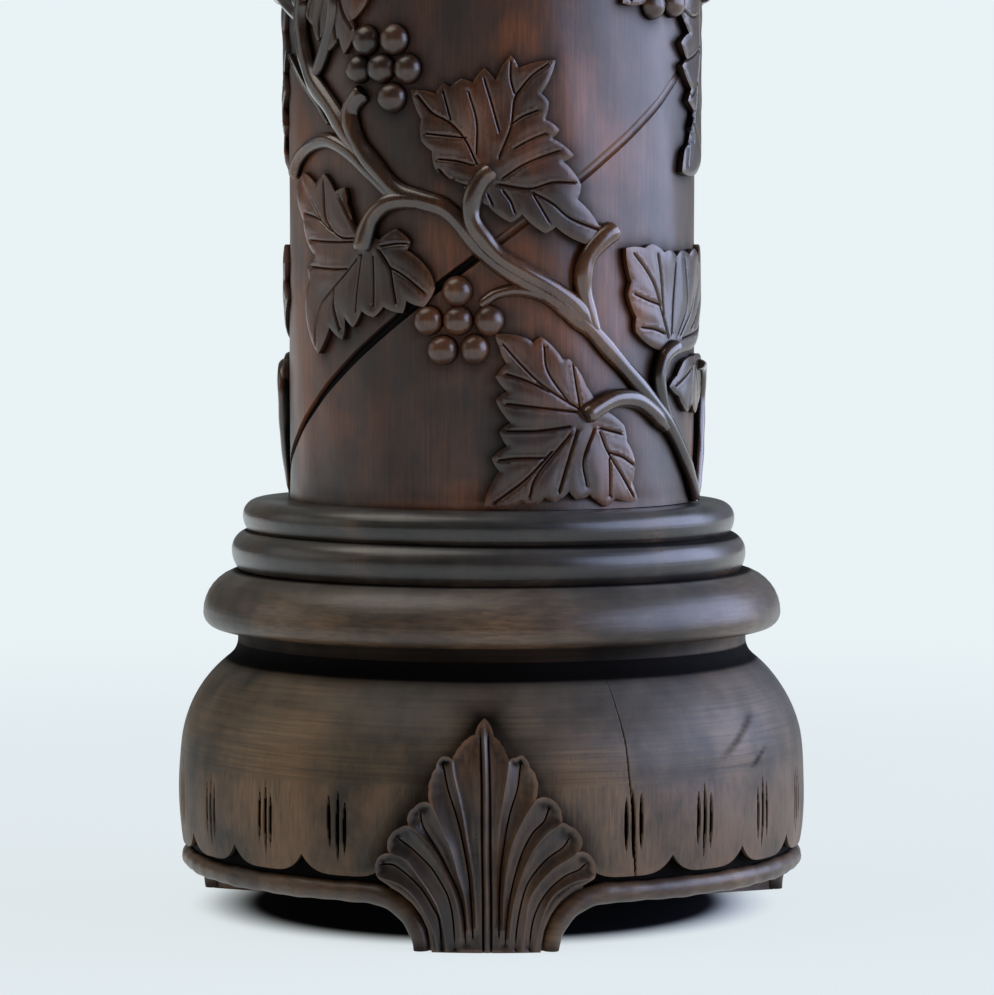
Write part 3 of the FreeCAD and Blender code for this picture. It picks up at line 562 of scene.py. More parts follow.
PALMETTE_VALLEYS = (
    ((-20.5, 88), (-18, 77), (-15, 68), (-12.6, 60), (-10.3, 49), (-8.4, 38), (-7.1, 24), (-6.4, 8)),
    ((-31, 65), (-30, 60), (-26, 53), (-21, 45), (-16, 35), (-12.7, 27), (-10.7, 18), (-10, 5)),
    ((-41, 53), (-36, 49.5), (-32, 46), (-26, 40), (-21.5, 33), (-17.7, 25), (-15.8, 14), (-15.3, 1)),
    ((-49, 41), (-45, 41), (-41, 39), (-35, 34), (-30, 28.5), (-25.7, 21.5), (-22.7, 15), (-21.6, 1)),
    ((16.5, 88), (15, 77), (12, 68), (9.8, 58), (8, 46), (6.8, 34), (6.3, 8)),
    ((29.5, 67), (27.5, 62), (22.5, 57), (18, 49), (14.3, 38), (11.6, 26), (10, 14), (9.4, 4)),
    ((39, 53), (36.5, 49.5), (30, 45), (25, 40), (19.6, 32), (16.5, 21), (14.8, 10), (14.3, 1)),
    ((47, 41), (44, 38.5), (38, 36), (30.6, 30), (25.3, 22), (22.3, 13), (21.1, 1)),
)
MIDRIB = ((-1, 106), (0, 80), (0.2, 50), (0.6, 25), (0.6, 1))


def line_distance(points, lines):
    """Distance from each point of a plan to the nearest of some lines."""
    nearest = np.full(len(points), 1e6)
    for line in lines:
        for start, end in zip(line[:-1], line[1:]):
            along = end - start
            share = np.clip((points - start) @ along / max(along @ along, 1e-9), 0, 1)
            nearest = np.minimum(nearest, np.linalg.norm(points - start - share[:, None] * along, axis=1))
    return nearest


def flowing(line, step):
    """A smooth line through given points, with a point about every step."""
    line = np.asarray(line, float)
    padded = np.concatenate([2 * line[:1] - line[1:2], line, 2 * line[-1:] - line[-2:-1]])
    result = [line[:1]]
    for a, b, c, d in zip(padded[:-3], padded[1:-2], padded[2:-1], padded[3:]):
        count = max(1, round(np.linalg.norm((c - b)[:2]) / step))
        t = (np.arange(1, count + 1) / count)[:, None]
        bend = (2 * a - 5 * b + 4 * c - d) * t**2 + (3 * b - a - 3 * c + d) * t**3
        result.append(0.5 * (2 * b + (c - a) * t + bend))
    return np.concatenate(result)


def bulged(line, share, step):
    """The line with each stretch between its points bowed out to the right by a share of its length."""
    line = np.asarray(line, float)
    result = []
    for start, end in zip(line[:-1], line[1:]):
        along = end - start
        t = np.arange(0, 1, min(1.0, step / np.linalg.norm(along)))[:, None]
        t = t / (t[-1] + t[1] - t[0]) if len(t) > 1 else t
        result.append(start + along * t + 4 * t * (1 - t) * share * np.array([along[1], -along[0]]))
    return np.concatenate(result + [line[-1:]])


def within(points, outline):
    """Whether each point lies inside a closed outline."""
    inside = np.zeros(len(points), bool)
    x, y = points.T
    for (ax, ay), (bx, by) in zip(outline, np.roll(outline, -1, axis=0)):
        if ay != by:
            inside ^= ((ay > y) != (by > y)) & (x < (bx - ax) * (y - ay) / (by - ay) + ax)
    return inside


def carving_plan(outline, lines, spacing, beside=()):
    """Triangles over a carved patch, with points along its outline and its cuts, in rows at the given
    distances beside each cut, and in a fine spread between."""
    low, high = outline.min(0), outline.max(0)
    across, up = np.arange(low[0], high[0], spacing), np.arange(low[1], high[1], spacing * 0.87)
    spread = np.stack(np.meshgrid(across, up), axis=-1)
    spread[1::2, :, 0] += spacing / 2
    spread = spread.reshape(-1, 2)
    spread = spread[within(spread, outline)]
    closed = np.concatenate([outline, outline[:1]])
    spread = spread[line_distance(spread, [closed]) > spacing * 0.5]
    spread = spread[line_distance(spread, lines) > max([spacing * 0.4, *beside]) + 0.25]
    for gap in beside:
        for line in lines:
            ahead = np.gradient(line, axis=0)
            side = np.stack([ahead[:, 1], -ahead[:, 0]], 1)
            side = side / np.linalg.norm(ahead, axis=1, keepdims=True) * gap
            both = np.concatenate([line + side, line - side])
            both = both[within(both, outline)]
            both = both[line_distance(both, [closed]) > 0.5]
            spread = np.concatenate([spread, both[line_distance(both, lines) > gap * 0.98]])
    edges = [(k, (k + 1) % len(outline)) for k in range(len(outline))]
    count = len(outline)
    for line in lines:
        edges += [(count + k, count + k + 1) for k in range(len(line) - 1)]
        count += len(line)
    points = [Vector(p) for p in np.concatenate([outline, *lines, spread])]
    plan = delaunay_2d_cdt(points, edges, [], 1, 1e-3)
    return np.array([p[:] for p in plan[0]]), [list(f) for f in plan[2]]


def plate(top, faces, root, heart):
    """Closes a carved patch: walls from its edge down to its root, and a floor that meets at its heart."""
    used = np.unique(np.concatenate(faces))
    renumber = {old: new for new, old in enumerate(used)}
    faces = [[renumber[k] for k in f] for f in faces]
    top, root = top[used], root[used]
    sides = dict.fromkeys((a, b) for f in faces for a, b in zip(f, f[1:] + f[:1]))
    rim = [(a, b) for a, b in sides if (b, a) not in sides]
    order = {a: k for k, (a, b) in enumerate(rim)}
    count = len(top)
    points = np.concatenate([top, root[[a for a, b in rim]], [heart]])
    under = count + len(rim) + 1
    points = np.concatenate([points, top[[a for a, b in rim]] * 0.88 + points[count:-1] * 0.12])
    walls = [[b, a, under + order[a], under + order[b]] for a, b in rim]
    walls += [[under + order[b], under + order[a], count + order[a], count + order[b]] for a, b in rim]
    floor_faces = [[count + order[b], count + order[a], count + len(rim)] for a, b in rim]
    return points, faces + walls + floor_faces


def joined(shells):
    """Points and faces of several shells as one."""
    points, faces, count = [], [], 0
    for shell_points, shell_faces in shells:
        points.append(np.asarray(shell_points).reshape(-1, 3))
        faces += [[int(k) + count for k in f] for f in shell_faces]
        count += len(points[-1])
    return np.concatenate(points), faces


foot_wood = stained_hardwood(
    "stained_hardwood_carved_foot", (1.8, 1.8, 20.0), "#1a120c", "#38291e", "#583f2a", warmth=0.7, gloss=0.38
)
stem_line = np.asarray(PALMETTE_STEM, float)
outline = np.concatenate(
    [
        bulged(PALMETTE_LOBES, 0.11, 0.9)[:-1],
        bulged(stem_line, 0.0, 1.2)[:-1],
        bulged(PALMETTE_LOBES_RIGHT, 0.11, 0.9)[:-1],
    ]
)
ridges = [flowing(line, 1.0) for line in PALMETTE_RIDGES]
valleys = [flowing(line, 1.0) for line in PALMETTE_VALLEYS]
midrib = flowing(MIDRIB, 1.0)
rib_sides = [midrib + [side, 0] for side in (-2.7, -1.9, -1.15, 1.15, 1.9, 2.7)]
rib_sides = [line[within(line, outline) & (line_distance(line, [outline]) > 0.6)] for line in rib_sides]
plan, faces = carving_plan(outline, ridges + valleys + [midrib, *rib_sides], 1.2, (0.5, 1.15))
to_edge = line_distance(plan, [np.concatenate([outline, outline[:1]])])
to_midrib = line_distance(plan, [midrib])
to_ridge = np.minimum(np.minimum(to_edge, line_distance(plan, ridges)), to_midrib)
to_valley = line_distance(plan, valleys)
depth = np.interp(plan[:, 1], (0, 12, 45), (LOBE_DEPTH_AT_SOLE, LOBE_DEPTH_AT_SOLE, LOBE_DEPTH))
share = to_valley / (to_valley + to_ridge + 1e-6)
in_heart = smooth_step(8.0 - np.abs(plan[:, 0]), 0, 3) * smooth_step(plan[:, 1], 45, 60)
hollow = (1 - share**1.5) * (1 - in_heart) + 0.55 * (1 - np.exp(-to_ridge / 3.5)) * in_heart
rise = FOOT_FACE_PROUD - depth * hollow
rise -= 1.0 * np.clip(1 - to_valley / 0.5, 0, 1) * smooth_step(plan[:, 1], 3, 10)
rib = 0.6 * np.clip(1 - to_midrib / 1.15, 0, 1) - 1.0 * np.clip(1 - np.abs(to_midrib - 1.9) / 0.8, 0, 1)
rise += rib * (1 - smooth_step(plan[:, 1], 97, 104))
rise -= 0.4 * np.exp(-((to_edge / 0.4) ** 2))
face_radius = np.where(
    plan[:, 1] > BOWL_EDGE_Z,
    bowl_radius(plan[:, 1]),
    np.interp(plan[:, 1], (0, BOWL_EDGE_Z), (FOOT_SOLE_FACE_RADIUS, BOWL_EDGE_RADIUS)),
)
lateral = np.degrees(np.arcsin(plan[:, 0] / (BOWL_BELLY[0] + FOOT_FACE_PROUD)))
top = around(lateral, face_radius + rise, plan[:, 1])
root = around(lateral, face_radius - 3.0, plan[:, 1])
palmette = plate(top, faces, root, (0.0, -140.0, 30.0))

bend = np.radians(range(28, 91, 6))
bend = np.array(FLANK_CENTRE) + FLANK_RADIUS * np.stack([np.sin(bend), np.cos(bend)], 1)
flank = np.concatenate([[(-FOOT_HALF_TOP, BOWL_EDGE_Z)], bend, [(-FOOT_HALF_SOLE, 0.0)]])
bracket_line = np.concatenate([flank, flank[::-1] * [-1, 1]])
lateral = np.degrees(np.arcsin(bracket_line[:, 0] / RIM_CENTRE_RADIUS))
loops = [around(lateral, radius, bracket_line[:, 1]) for radius in (151.0, 150.0, 118.0, FOOT_BACK_RADIUS)]
loops[2][:, 0] *= 1.15
loops[3][:, 0] *= 1.25
middle = [np.repeat([[0.0, loop[:, 1].mean(), 15.0]], len(bracket_line), 0) for loop in (loops[0], loops[-1])]
bracket = (np.stack([middle[0], *loops, middle[1]]), grid_faces(6, len(bracket_line), True))


def turned_to(points, azimuth):
    """Points at the front turned round the axis to another azimuth."""
    cosine, sine = math.cos(math.radians(azimuth)), math.sin(math.radians(azimuth))
    spin = np.array([[cosine, sine, 0], [-sine, cosine, 0], [0, 0, 1]])
    return np.asarray(points).reshape(-1, 3) @ spin


for azimuth, place in zip(FOOT_AZIMUTHS, ("front", "back_right", "back_left")):
    node = "foot_" + place
    points, faces = joined([palmette, bracket])
    foot = wood_mesh(node + "_palmette", turned_to(points, azimuth), faces, foot_wood, "foot_wood", node)
    # The palmette's hollows are painted dark as shade, and its ridges lightened as rubbed.
    shade_hollows_and_rub_ridges(foot, 5, 2.5)

# ----------------------------------------
# Base rings. Three discs turned with rounded noses and stacked on the shaft's tenon: a heavy torus, and
# two slimmer ones that step in to the column. The upper two keep most of their black stain and gloss.
ring_wood = stained_hardwood(
    "stained_hardwood_turned_ring",
    (12.0, 12.0, 1.2),
    "#1a1613",
    "#3a322c",
    "#54402f",
    warmth=0.6,
    gloss=0.29,
    turning=0.35,
    wax=0.4,
    dust=0.3,
)
torus_wood = stained_hardwood(
    "stained_hardwood_turned_torus",
    (12.0, 12.0, 1.4),
    "#2c2219",
    "#4e3e2f",
    "#644e39",
    warmth=0.6,
    gloss=0.35,
    turning=0.3,
    dust=0.3,
)


def nose_outline(node, bottom, nose, top, nose_height):
    """A ring's section from its lower inside edge round its nose to its upper inside edge."""
    low, high = (corner[2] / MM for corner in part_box(node))
    section = [np.array([[TENON_RADIUS, low]])]
    for edge_radius, edge_z, flip in ((bottom, low, False), (top, high, True)):
        rise = abs(low + nose_height - edge_z)
        start = max(edge_radius, nose - rise)
        swell = nose - start
        arc_radius = (swell**2 + rise**2) / (2 * swell)
        sweep = np.linspace(math.asin(min(rise / arc_radius, 1.0)), 0, 9)
        side = 1 if flip else -1
        heights = low + nose_height + side * arc_radius * np.sin(sweep)
        arc = np.stack([nose - arc_radius * (1 - np.cos(sweep)), heights], 1)
        section.append(arc[::-1][1:] if flip else arc)
    section.append(np.array([[TENON_RADIUS, high]]))
    return np.concatenate(section)


TURNED_COLUMNS = 540
HAND_WAVER = 0.12


def turned_piece(name, section, material, slot, *nodes, shift=0.0, droop=0.0):
    """A piece turned from a closed section, with the slight waver that hand finishing leaves. shift moves it
    to the left and droop lowers its right-hand side, both in millimetres: it wasn't glued on quite true."""
    section = np.asarray(section, float)
    around_it = np.arange(TURNED_COLUMNS) * 360.0 / TURNED_COLUMNS
    closed = np.concatenate([section, section[:1]])
    wave = 1.6 + np.sin(np.radians(around_it * 2 + 30)) + 0.6 * np.sin(np.radians(around_it * 7))
    wave *= HAND_WAVER
    loose = (closed[:, 0] > TENON_RADIUS + 5)[:, None] * wave[None, :]
    points = around(around_it[None, :], closed[:, :1] - loose, closed[:, 1:])
    outer = smooth_step(closed[:, :1], TENON_RADIUS + 20, TENON_RADIUS + 60)
    points[..., 2] -= droop * outer * points[..., 0] / closed[:, 0].max()
    points[..., 0] -= shift * outer
    return wood_mesh(name, points, grid_faces(len(closed), TURNED_COLUMNS, True), material, slot, *nodes)


SHAFT_RADIUS = 101.0
# Each ring's radius at its lower edge, nose and upper edge, the height of its nose, its shift and its droop.
RING_SIZES = {
    "base_torus_ring": (127.5, 144.5, 127.5, 7.5, 0.0, 0.0),
    "base_middle_ring": (125.5, 128.6, 121.5, 9.5, 1.6, 0.7),
    "base_upper_ring": (120.5, 123.0, 113.0, 7.5, 1.6, 0.7),
}
# Inside these radii, just outside the piece above, the seam is painted dark as shade.
SEAM_RADII = {"base_torus_ring": 130.5, "base_middle_ring": 124.5, "base_upper_ring": SHAFT_RADIUS + 2}
for node, (bottom, nose, top, nose_height, shift, droop) in RING_SIZES.items():
    wood = torus_wood if node == "base_torus_ring" else ring_wood
    section = nose_outline(node, bottom, nose, top, nose_height)
    ring = turned_piece(node + "_turned", section, wood, "turned_wood", node, shift=shift, droop=droop)
    seam = SEAM_RADII[node]

    # Painted shade in the seam under the piece above.
    def seam_painted_shade(points, normals):
        return -0.8 * (1 - smooth_step(np.hypot(points[:, 0], points[:, 1]), seam - 2, seam))

    shade_hollows_and_rub_ridges(ring, 3, 0.0, seam_painted_shade)

# ----------------------------------------
# Shaft. One log, turned to a cylinder; the ground between the carving was planed back by hand, and one
# round-bottomed groove climbs it to the right.
SHAFT_FOOT_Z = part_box("base_upper_ring")[1][2] / MM
SHAFT_TOP_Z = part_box("capital_lower_ring")[0][2] / MM
# The groove's climb for each degree, which is 472 mm in a turn, and its azimuth at the shaft's foot.
HELIX_RISE = 472.0 / 360.0
HELIX_ZERO_AZIMUTH = -95.0

# The shaft is the reddest of the woods. Hands have rubbed the canes to a high gloss, and the leaves to a
# softer one.
shaft_wood, cane_wood, leaf_wood = (
    stained_hardwood("stained_hardwood_" + name, grain, *colours, warmth=0.8, gloss=gloss, wax=wax)
    for name, grain, colours, gloss, wax in (
        ("carved_shaft", (1.6, 1.6, 34.0), ("#221208", "#4a2813", "#74401c"), 0.36, 0.35),
        ("rubbed_cane", (1.4, 1.4, 22.0), ("#20120a", "#442a1b", "#684026"), 0.22, 1.0),
        ("carved_vine", (1.4, 1.4, 22.0), ("#20120a", "#472a1a", "#704024"), 0.29, 0.45),
    )
)

# The vine. One growth of cane, stalks, leaves and grapes, 240 mm tall, is carved twice round the shaft and
# twice up it, each one starting where the cane below it ends. Places are degrees from the front and
# millimetres above the shaft's foot.
GROWTH_SIDES = (0.0, 180.0)
GROWTH_LEVELS = ((0.0, 0.0), (-141.0, 240.0))
LEAF_EDGE_PROUD = 2.7
LEAF_SWELL = 1.0
VEIN_DEPTH = 0.75
VEIN_LIP = 0.35
# How much prouder each leaf is at its right-hand side and at its upper side than in its middle.
LEAF_LEANS = ((1.3, -0.3), (0.5, -0.4), (-0.4, -0.2), (-0.8, 0.8), (0.0, 0.4), (-0.8, 0.0), (0.4, -0.4))
# Each stem: its route, its half width at each end, and how far its core stands off the shaft at each end.
STEMS = (
    (
        ((80, -2), (68, 21), (56, 42), (46, 57), (36, 73), (28, 87), (21, 97), (13, 106), (5, 115),
         (-1, 123), (-7, 136), (-12, 144), (-19, 148), (-25, 152), (-31, 162), (-37, 174), (-40, 184),
         (-40, 192), (-36, 200)),
        3.4, 4.3, 0.8, 0.8,
    ),
    (
        ((-35, 168), (-42, 181), (-48, 193), (-56, 206), (-61, 221), (-63, 236), (-62, 246)),
        4.4, 4.2, 0.5, 0.8,
    ),
    (
        ((-22, 149), (-27, 152), (-32, 159), (-38, 168), (-44, 174), (-50, 177), (-58, 175), (-65, 169),
         (-69, 161)),
        3.6, 3.2, 0.4, 1.0,
    ),
    (
        ((28, 88), (24, 97), (18, 105), (10, 113), (3, 121), (-1, 129), (-4, 138), (-4, 148), (-2, 156),
         (1, 162)),
        3.8, 3.9, 1.8, 4.8,
    ),
    (((31, 80), (28, 92), (26, 107), (27, 120), (31, 129), (35, 134)), 3.6, 4.3, 0.8, 3.6),
    (((-15, 146), (-22, 148), (-28, 146), (-32, 140), (-34, 132), (-35, 124)), 3.8, 3.9, 1.0, 4.6),
    (((56, 38), (50, 46), (43, 52), (36, 53), (31, 50), (26, 45)), 3.6, 4.0, 1.0, 4.8),
    (((59, 36), (54, 51), (52, 63), (54, 73), (59, 78)), 2.9, 3.1, 1.0, 4.4),
    (((28, 84), (21, 95), (15, 102), (8, 105), (2, 103), (-2, 98)), 3.2, 2.2, 0.5, 0.8),
    (((-49, 185), (-55, 196), (-62, 205), (-68, 213), (-74, 220)), 1.1, 0.9, 0.3, 0.5),
    (((77, 0), (84, 19), (90, 38), (91, 56), (87, 66), (79, 68)), 2.8, 2.4, 0.8, 3.4),
    (((-56, 206), (-50, 222), (-46, 240), (-47, 256)), 3.0, 2.6, 0.5, 3.8),
    (((-62, 236), (-72, 243), (-84, 250), (-93, 250)), 3.0, 3.0, 0.6, 4.2),
)
# Each leaf: its outline with a point at every tooth and notch, then the cuts of its veins.
LEAVES = (
    (
        ((18, 214), (14, 198), (16, 194), (15, 186), (19, 181), (17, 177), (23, 169), (20, 166), (25, 155),
         (24, 148), (30, 136), (35, 132), (26, 127), (18, 135), (15, 132), (9, 141), (6, 137), (0, 145),
         (-7, 155), (-14, 162), (-15, 171), (-18, 176), (-18, 186), (-21, 200), (-14, 198), (-12, 203),
         (-10, 201), (-7, 205), (-4, 203), (-1, 210), (2, 204), (6, 216), (8, 210)),
        (
            ((3, 168), (6, 182), (7, 195), (9, 201), (12, 207), (16, 212)), ((7, 198), (6, 205), (6, 213)),
            ((3, 180), (1, 193), (-1, 205)), ((-3, 165), (-6, 176), (-10, 184), (-15, 189), (-19, 197)),
            ((-3, 170), (-3, 185), (-5, 198)), ((-10, 186), (-12, 199)),
            ((-6, 177), (-11, 178), (-16, 179)), ((-4, 164), (-8, 166), (-13, 167)),
            ((-5, 154), (-10, 157), (-13, 162)), ((4, 158), (9, 164), (14, 168), (19, 171)),
            ((7, 172), (11, 176), (15, 179)), ((6, 183), (9, 187), (13, 190)),
            ((3, 155), (11, 153), (17, 156), (23, 156)), ((12, 151), (17, 146), (22, 139), (31, 133)),
            ((12, 150), (14, 144), (16, 138)), ((4, 152), (6, 147), (7, 142)), ((0, 150), (1, 146)),
        ),
    ),
    (
        ((-62, 162), (-55, 156), (-51, 161), (-46, 152), (-42, 154), (-41, 146), (-39, 137), (-36, 130),
         (-30, 129), (-25, 134), (-21, 128), (-22, 124), (-16, 115), (-14, 106), (-17, 97), (-22, 100),
         (-23, 94), (-29, 97), (-32, 92), (-36, 95), (-39, 87), (-42, 92), (-43, 81), (-48, 87), (-53, 74),
         (-59, 87), (-60, 101), (-58, 110), (-59, 116), (-55, 122), (-60, 129), (-62, 139), (-67, 155)),
        (
            ((-36, 130), (-43, 130), (-47, 134), (-50, 142), (-51, 157)),
            ((-37, 131), (-40, 139), (-44, 150)), ((-47, 133), (-53, 139), (-60, 142)),
            ((-52, 139), (-58, 150), (-62, 158)), ((-39, 128), (-47, 128), (-57, 129)),
            ((-38, 119), (-42, 112), (-47, 105), (-52, 98), (-54, 89), (-54, 79)),
            ((-41, 115), (-47, 115), (-56, 116)), ((-46, 105), (-46, 97), (-44, 87)),
            ((-32, 121), (-32, 111), (-32, 98)), ((-36, 121), (-37, 110), (-38, 95)),
            ((-30, 124), (-27, 116), (-26, 108), (-25, 99)), ((-27, 116), (-22, 111), (-17, 104)),
            ((-29, 126), (-25, 127), (-22, 127)),
        ),
    ),
    (
        ((2, 84), (9, 83), (12, 80), (14, 83), (20, 72), (22, 72), (27, 59), (30, 49), (39, 40), (40, 32),
         (43, 22), (42, 12), (44, 3), (36, 5), (33, 1), (28, 7), (24, 5), (22, 9), (18, 4), (15, 6),
         (12, 2), (9, 4), (3, 1), (-1, 2), (1, 13), (3, 19), (1, 25), (5, 31), (3, 38), (6, 42), (2, 53),
         (5, 57), (2, 64), (5, 70), (3, 78)),
        (
            ((25, 48), (15, 59), (9, 69), (4, 79)), ((22, 51), (16, 66), (15, 78)), ((25, 50), (23, 69)),
            ((16, 57), (10, 62), (5, 65)), ((24, 47), (14, 49), (5, 51)), ((22, 40), (13, 38), (5, 38)),
            ((22, 36), (13, 17), (11, 7)), ((17, 28), (10, 15), (2, 4)), ((15, 25), (8, 25), (3, 24)),
            ((24, 38), (19, 9)), ((29, 38), (26, 24), (27, 12)), ((31, 37), (34, 26), (42, 6)),
            ((34, 24), (34, 15), (34, 7)), ((34, 27), (38, 25), (42, 21)), ((31, 39), (38, 36)),
        ),
    ),
    (
        ((58, 75), (50, 77), (43, 85), (43, 92), (40, 103), (41, 109), (39, 125), (46, 125), (49, 127),
         (54, 123), (57, 124), (61, 121), (64, 124), (70, 122), (74, 125), (80, 121), (84, 126), (91, 127),
         (97, 118), (94, 109), (100, 100), (94, 93), (91, 86), (80, 80), (68, 75)),
        (
            ((56, 82), (53, 95), (50, 106), (46, 115), (42, 122)), ((54, 93), (53, 107), (51, 122)),
            ((58, 84), (59, 100), (60, 118)), ((62, 83), (67, 95), (67, 106), (66, 119)),
            ((64, 83), (77, 105), (78, 118)), ((54, 84), (50, 86), (45, 87)),
            ((52, 98), (47, 100), (42, 103)), ((65, 81), (76, 84), (86, 88), (95, 98)),
            ((72, 86), (86, 103), (90, 121)),
        ),
    ),
    (
        ((66, 70), (62, 63), (58, 58), (63, 53), (65, 49), (69, 45), (73, 49), (77, 44), (82, 48), (87, 52),
         (92, 53), (92, 61), (90, 70), (82, 73), (74, 72)),
        (
            ((73, 67), (71, 58), (70, 48)), ((75, 66), (79, 57), (79, 47)), ((71, 66), (66, 62), (61, 58)),
            ((78, 66), (89, 57)),
        ),
    ),
    (
        ((62, 243), (69, 230), (63, 225), (68, 217), (64, 214), (71, 203), (68, 197), (75, 192), (71, 184),
         (74, 178), (66, 173), (64, 162), (74, 161), (82, 166), (89, 172), (87, 181), (95, 186), (92, 195),
         (100, 203), (95, 212), (103, 223), (97, 232), (100, 244), (90, 247), (83, 252), (73, 250)),
        (
            ((82, 244), (80, 225), (76, 200), (71, 180), (68, 166)), ((80, 224), (73, 219), (66, 216)),
            ((77, 206), (74, 202), (70, 199)), ((79, 240), (71, 238), (64, 241)),
            ((84, 238), (92, 228), (100, 223)), ((80, 222), (88, 210), (97, 204)),
            ((77, 207), (84, 195), (92, 187)), ((73, 186), (80, 177), (85, 172)),
        ),
    ),
    (
        ((-62, 261), (-58, 247), (-60, 238), (-56, 233), (-53, 225), (-50, 229), (-48, 220), (-44, 226),
         (-42, 218), (-38, 228), (-39, 234), (-36, 238), (-33, 247), (-36, 256), (-40, 262), (-46, 266),
         (-54, 266)),
        (
            ((-48, 256), (-52, 239), (-52, 227)), ((-46, 255), (-46, 240), (-45, 224)),
            ((-45, 252), (-42, 238), (-39, 230)), ((-50, 253), (-57, 244), (-58, 238)),
            ((-44, 256), (-38, 250), (-34, 247)),
        ),
    ),
)
GRAPES = (
    (-34.8, 224), (-26, 224), (-37.4, 210.5), (-30, 210.5), (-22, 210), (-26.8, 196.5), (-8.2, 104.5),
    (-16.2, 90.5), (-8, 90.5), (0.3, 90.5), (-12.2, 76.5), (-3.6, 77), (50, 242), (60, 244),
)
GRAPE_RADIUS = 7.4
GRAPE_FLATTENING = 0.9
GRAPE_CORE = 0.6


def unrolled(places):
    """Places on the shaft as millimetres across and up its unrolled face."""
    return np.asarray(places, float)[..., :2] * [math.radians(SHAFT_RADIUS), 1.0]


def on_shaft(flat, proud):
    """Points of the unrolled face back on the shaft, standing proud of it."""
    return around(np.degrees(flat[:, 0] / SHAFT_RADIUS), SHAFT_RADIUS + proud, SHAFT_FOOT_Z + flat[:, 1])


def repeated(shells):
    """The shells of one growth at every place it is carved, without what the shaft is too short for."""
    copies = []
    for side in GROWTH_SIDES:
        for turn, lift in GROWTH_LEVELS:
            for points, faces in shells:
                moved = turned_to(points, side + turn) + [0, 0, lift]
                if moved[:, 2].max() < SHAFT_TOP_Z - 1.0:
                    copies.append((moved, faces))
    return joined(copies)


marks = []
stem_shells = []
for route, first_width, last_width, first_core, last_core in STEMS:
    line = flowing(unrolled(route), 1.6)
    line = line[line[:, 1] > -1.5]
    marks.append(line)
    share = np.linspace(0, 1, len(line))
    way = on_shaft(line, first_core + (last_core - first_core) * share**1.6)
    width = 1.22 * (first_width + (last_width - first_width) * share) * (1 + 0.05 * np.sin(line[:, 1] * 0.35))
    along = np.concatenate([[0], np.cumsum(np.linalg.norm(np.diff(line, axis=0), axis=1))])
    width *= 0.6 + 0.4 * smooth_step(along, 0, 9)
    width[-1] *= 0.8
    out = way * [1, 1, 0]
    out /= np.linalg.norm(out, axis=1, keepdims=True)
    points, faces = tube(way, width, width * 0.6 + 2.0, out, sides=20)
    points[:, 2] = np.maximum(points[:, 2], SHAFT_FOOT_Z + 0.1)
    stem_shells.append((points, faces))

leaf_shells = []
for (outline, veins), lean in zip(LEAVES, LEAF_LEANS):
    outline = unrolled(outline)
    turning_way = np.sign(np.cross(outline, np.roll(outline, -1, axis=0)).sum())
    outline = bulged(np.concatenate([outline, outline[:1]]), 0.055 * turning_way, 1.1)[:-1]
    outline[:, 1] = np.maximum(outline[:, 1], 0.5)
    veins = [flowing(unrolled(vein), 1.0) for vein in veins]
    plan, faces = carving_plan(outline, veins, 1.5, (0.55, 1.2))
    to_edge = line_distance(plan, [np.concatenate([outline, outline[:1]])])
    to_vein = line_distance(plan, veins)
    swell = (1 - np.exp(-to_vein / 2.6)) * (0.35 + 0.65 * (1 - np.exp(-to_edge / 2.2)))
    middle = plan.mean(0)
    reach = np.abs(plan - middle).max()
    proud = LEAF_EDGE_PROUD + LEAF_SWELL * swell - VEIN_DEPTH * np.clip(1 - to_vein / 0.55, 0, 1)
    proud += VEIN_LIP * np.exp(-(((to_vein - 1.2) / 0.7) ** 2))
    proud += (plan - middle) @ np.array(lean) / reach
    proud += 0.4 * np.sin(plan[:, 0] / 6.1 + reach) * np.sin(plan[:, 1] / 7.3)
    proud -= 0.3 * np.exp(-((to_edge / 0.3) ** 2))
    heart = on_shaft(plan.mean(0)[None], -7.0)[0]
    leaf_shells.append(plate(on_shaft(plan, proud), faces, on_shaft(plan, -0.8), heart))
    marks.append(outline)

grape_shells = []
knife = np.random.default_rng(12)
for grape in GRAPES:
    across = np.linspace(0, math.pi, 15)[:, None]
    turn = np.arange(24)[None, :] * math.tau / 24
    size = GRAPE_RADIUS * (1 + 0.03 * knife.normal(0, 1, 3)) * [1, 1, GRAPE_FLATTENING]
    side = size[0] * np.sin(across) * np.cos(turn)
    up = size[1] * np.sin(across) * np.sin(turn)
    out = SHAFT_RADIUS + GRAPE_CORE + size[2] * np.cos(across) + 0 * turn
    ball = np.stack([side, -out, up + SHAFT_FOOT_Z + grape[1]], axis=-1)
    grape_shells.append((turned_to(ball, grape[0]), grid_faces(15, 24, True)))
    ring = np.radians(np.arange(0, 360, 20))
    marks.append(unrolled([grape]) + 7.0 * np.stack([np.cos(ring), np.sin(ring)], 1))


def vine_painted_light_and_rub(points, normals):
    """Painted shade on the carving's walls and low down by the shaft, and a lighter crest, partly rubbing and
    partly a painted highlight.
    """
    reach = np.hypot(points[:, 0], points[:, 1])
    facing = (points[:, :2] * normals[:, :2]).sum(1) / reach
    proud = reach - SHAFT_RADIUS
    dark = -0.8 * (1 - smooth_step(facing, 0.15, 0.55)) - 0.5 * (1 - smooth_step(proud, 0.3, 2.0))
    return dark + 0.3 * smooth_step(proud, 5.0, 8.0) * smooth_step(facing, 0.5, 0.9)


for name, shells in (("canes", stem_shells), ("leaves", leaf_shells), ("grapes", grape_shells)):
    points, faces = repeated(shells)
    wood = cane_wood if name == "canes" else leaf_wood
    piece = wood_mesh("shaft_vine_" + name, points, faces, wood, "carved_wood", "shaft")
    shade_hollows_and_rub_ridges(piece, 4, 0.9, vine_painted_light_and_rub)

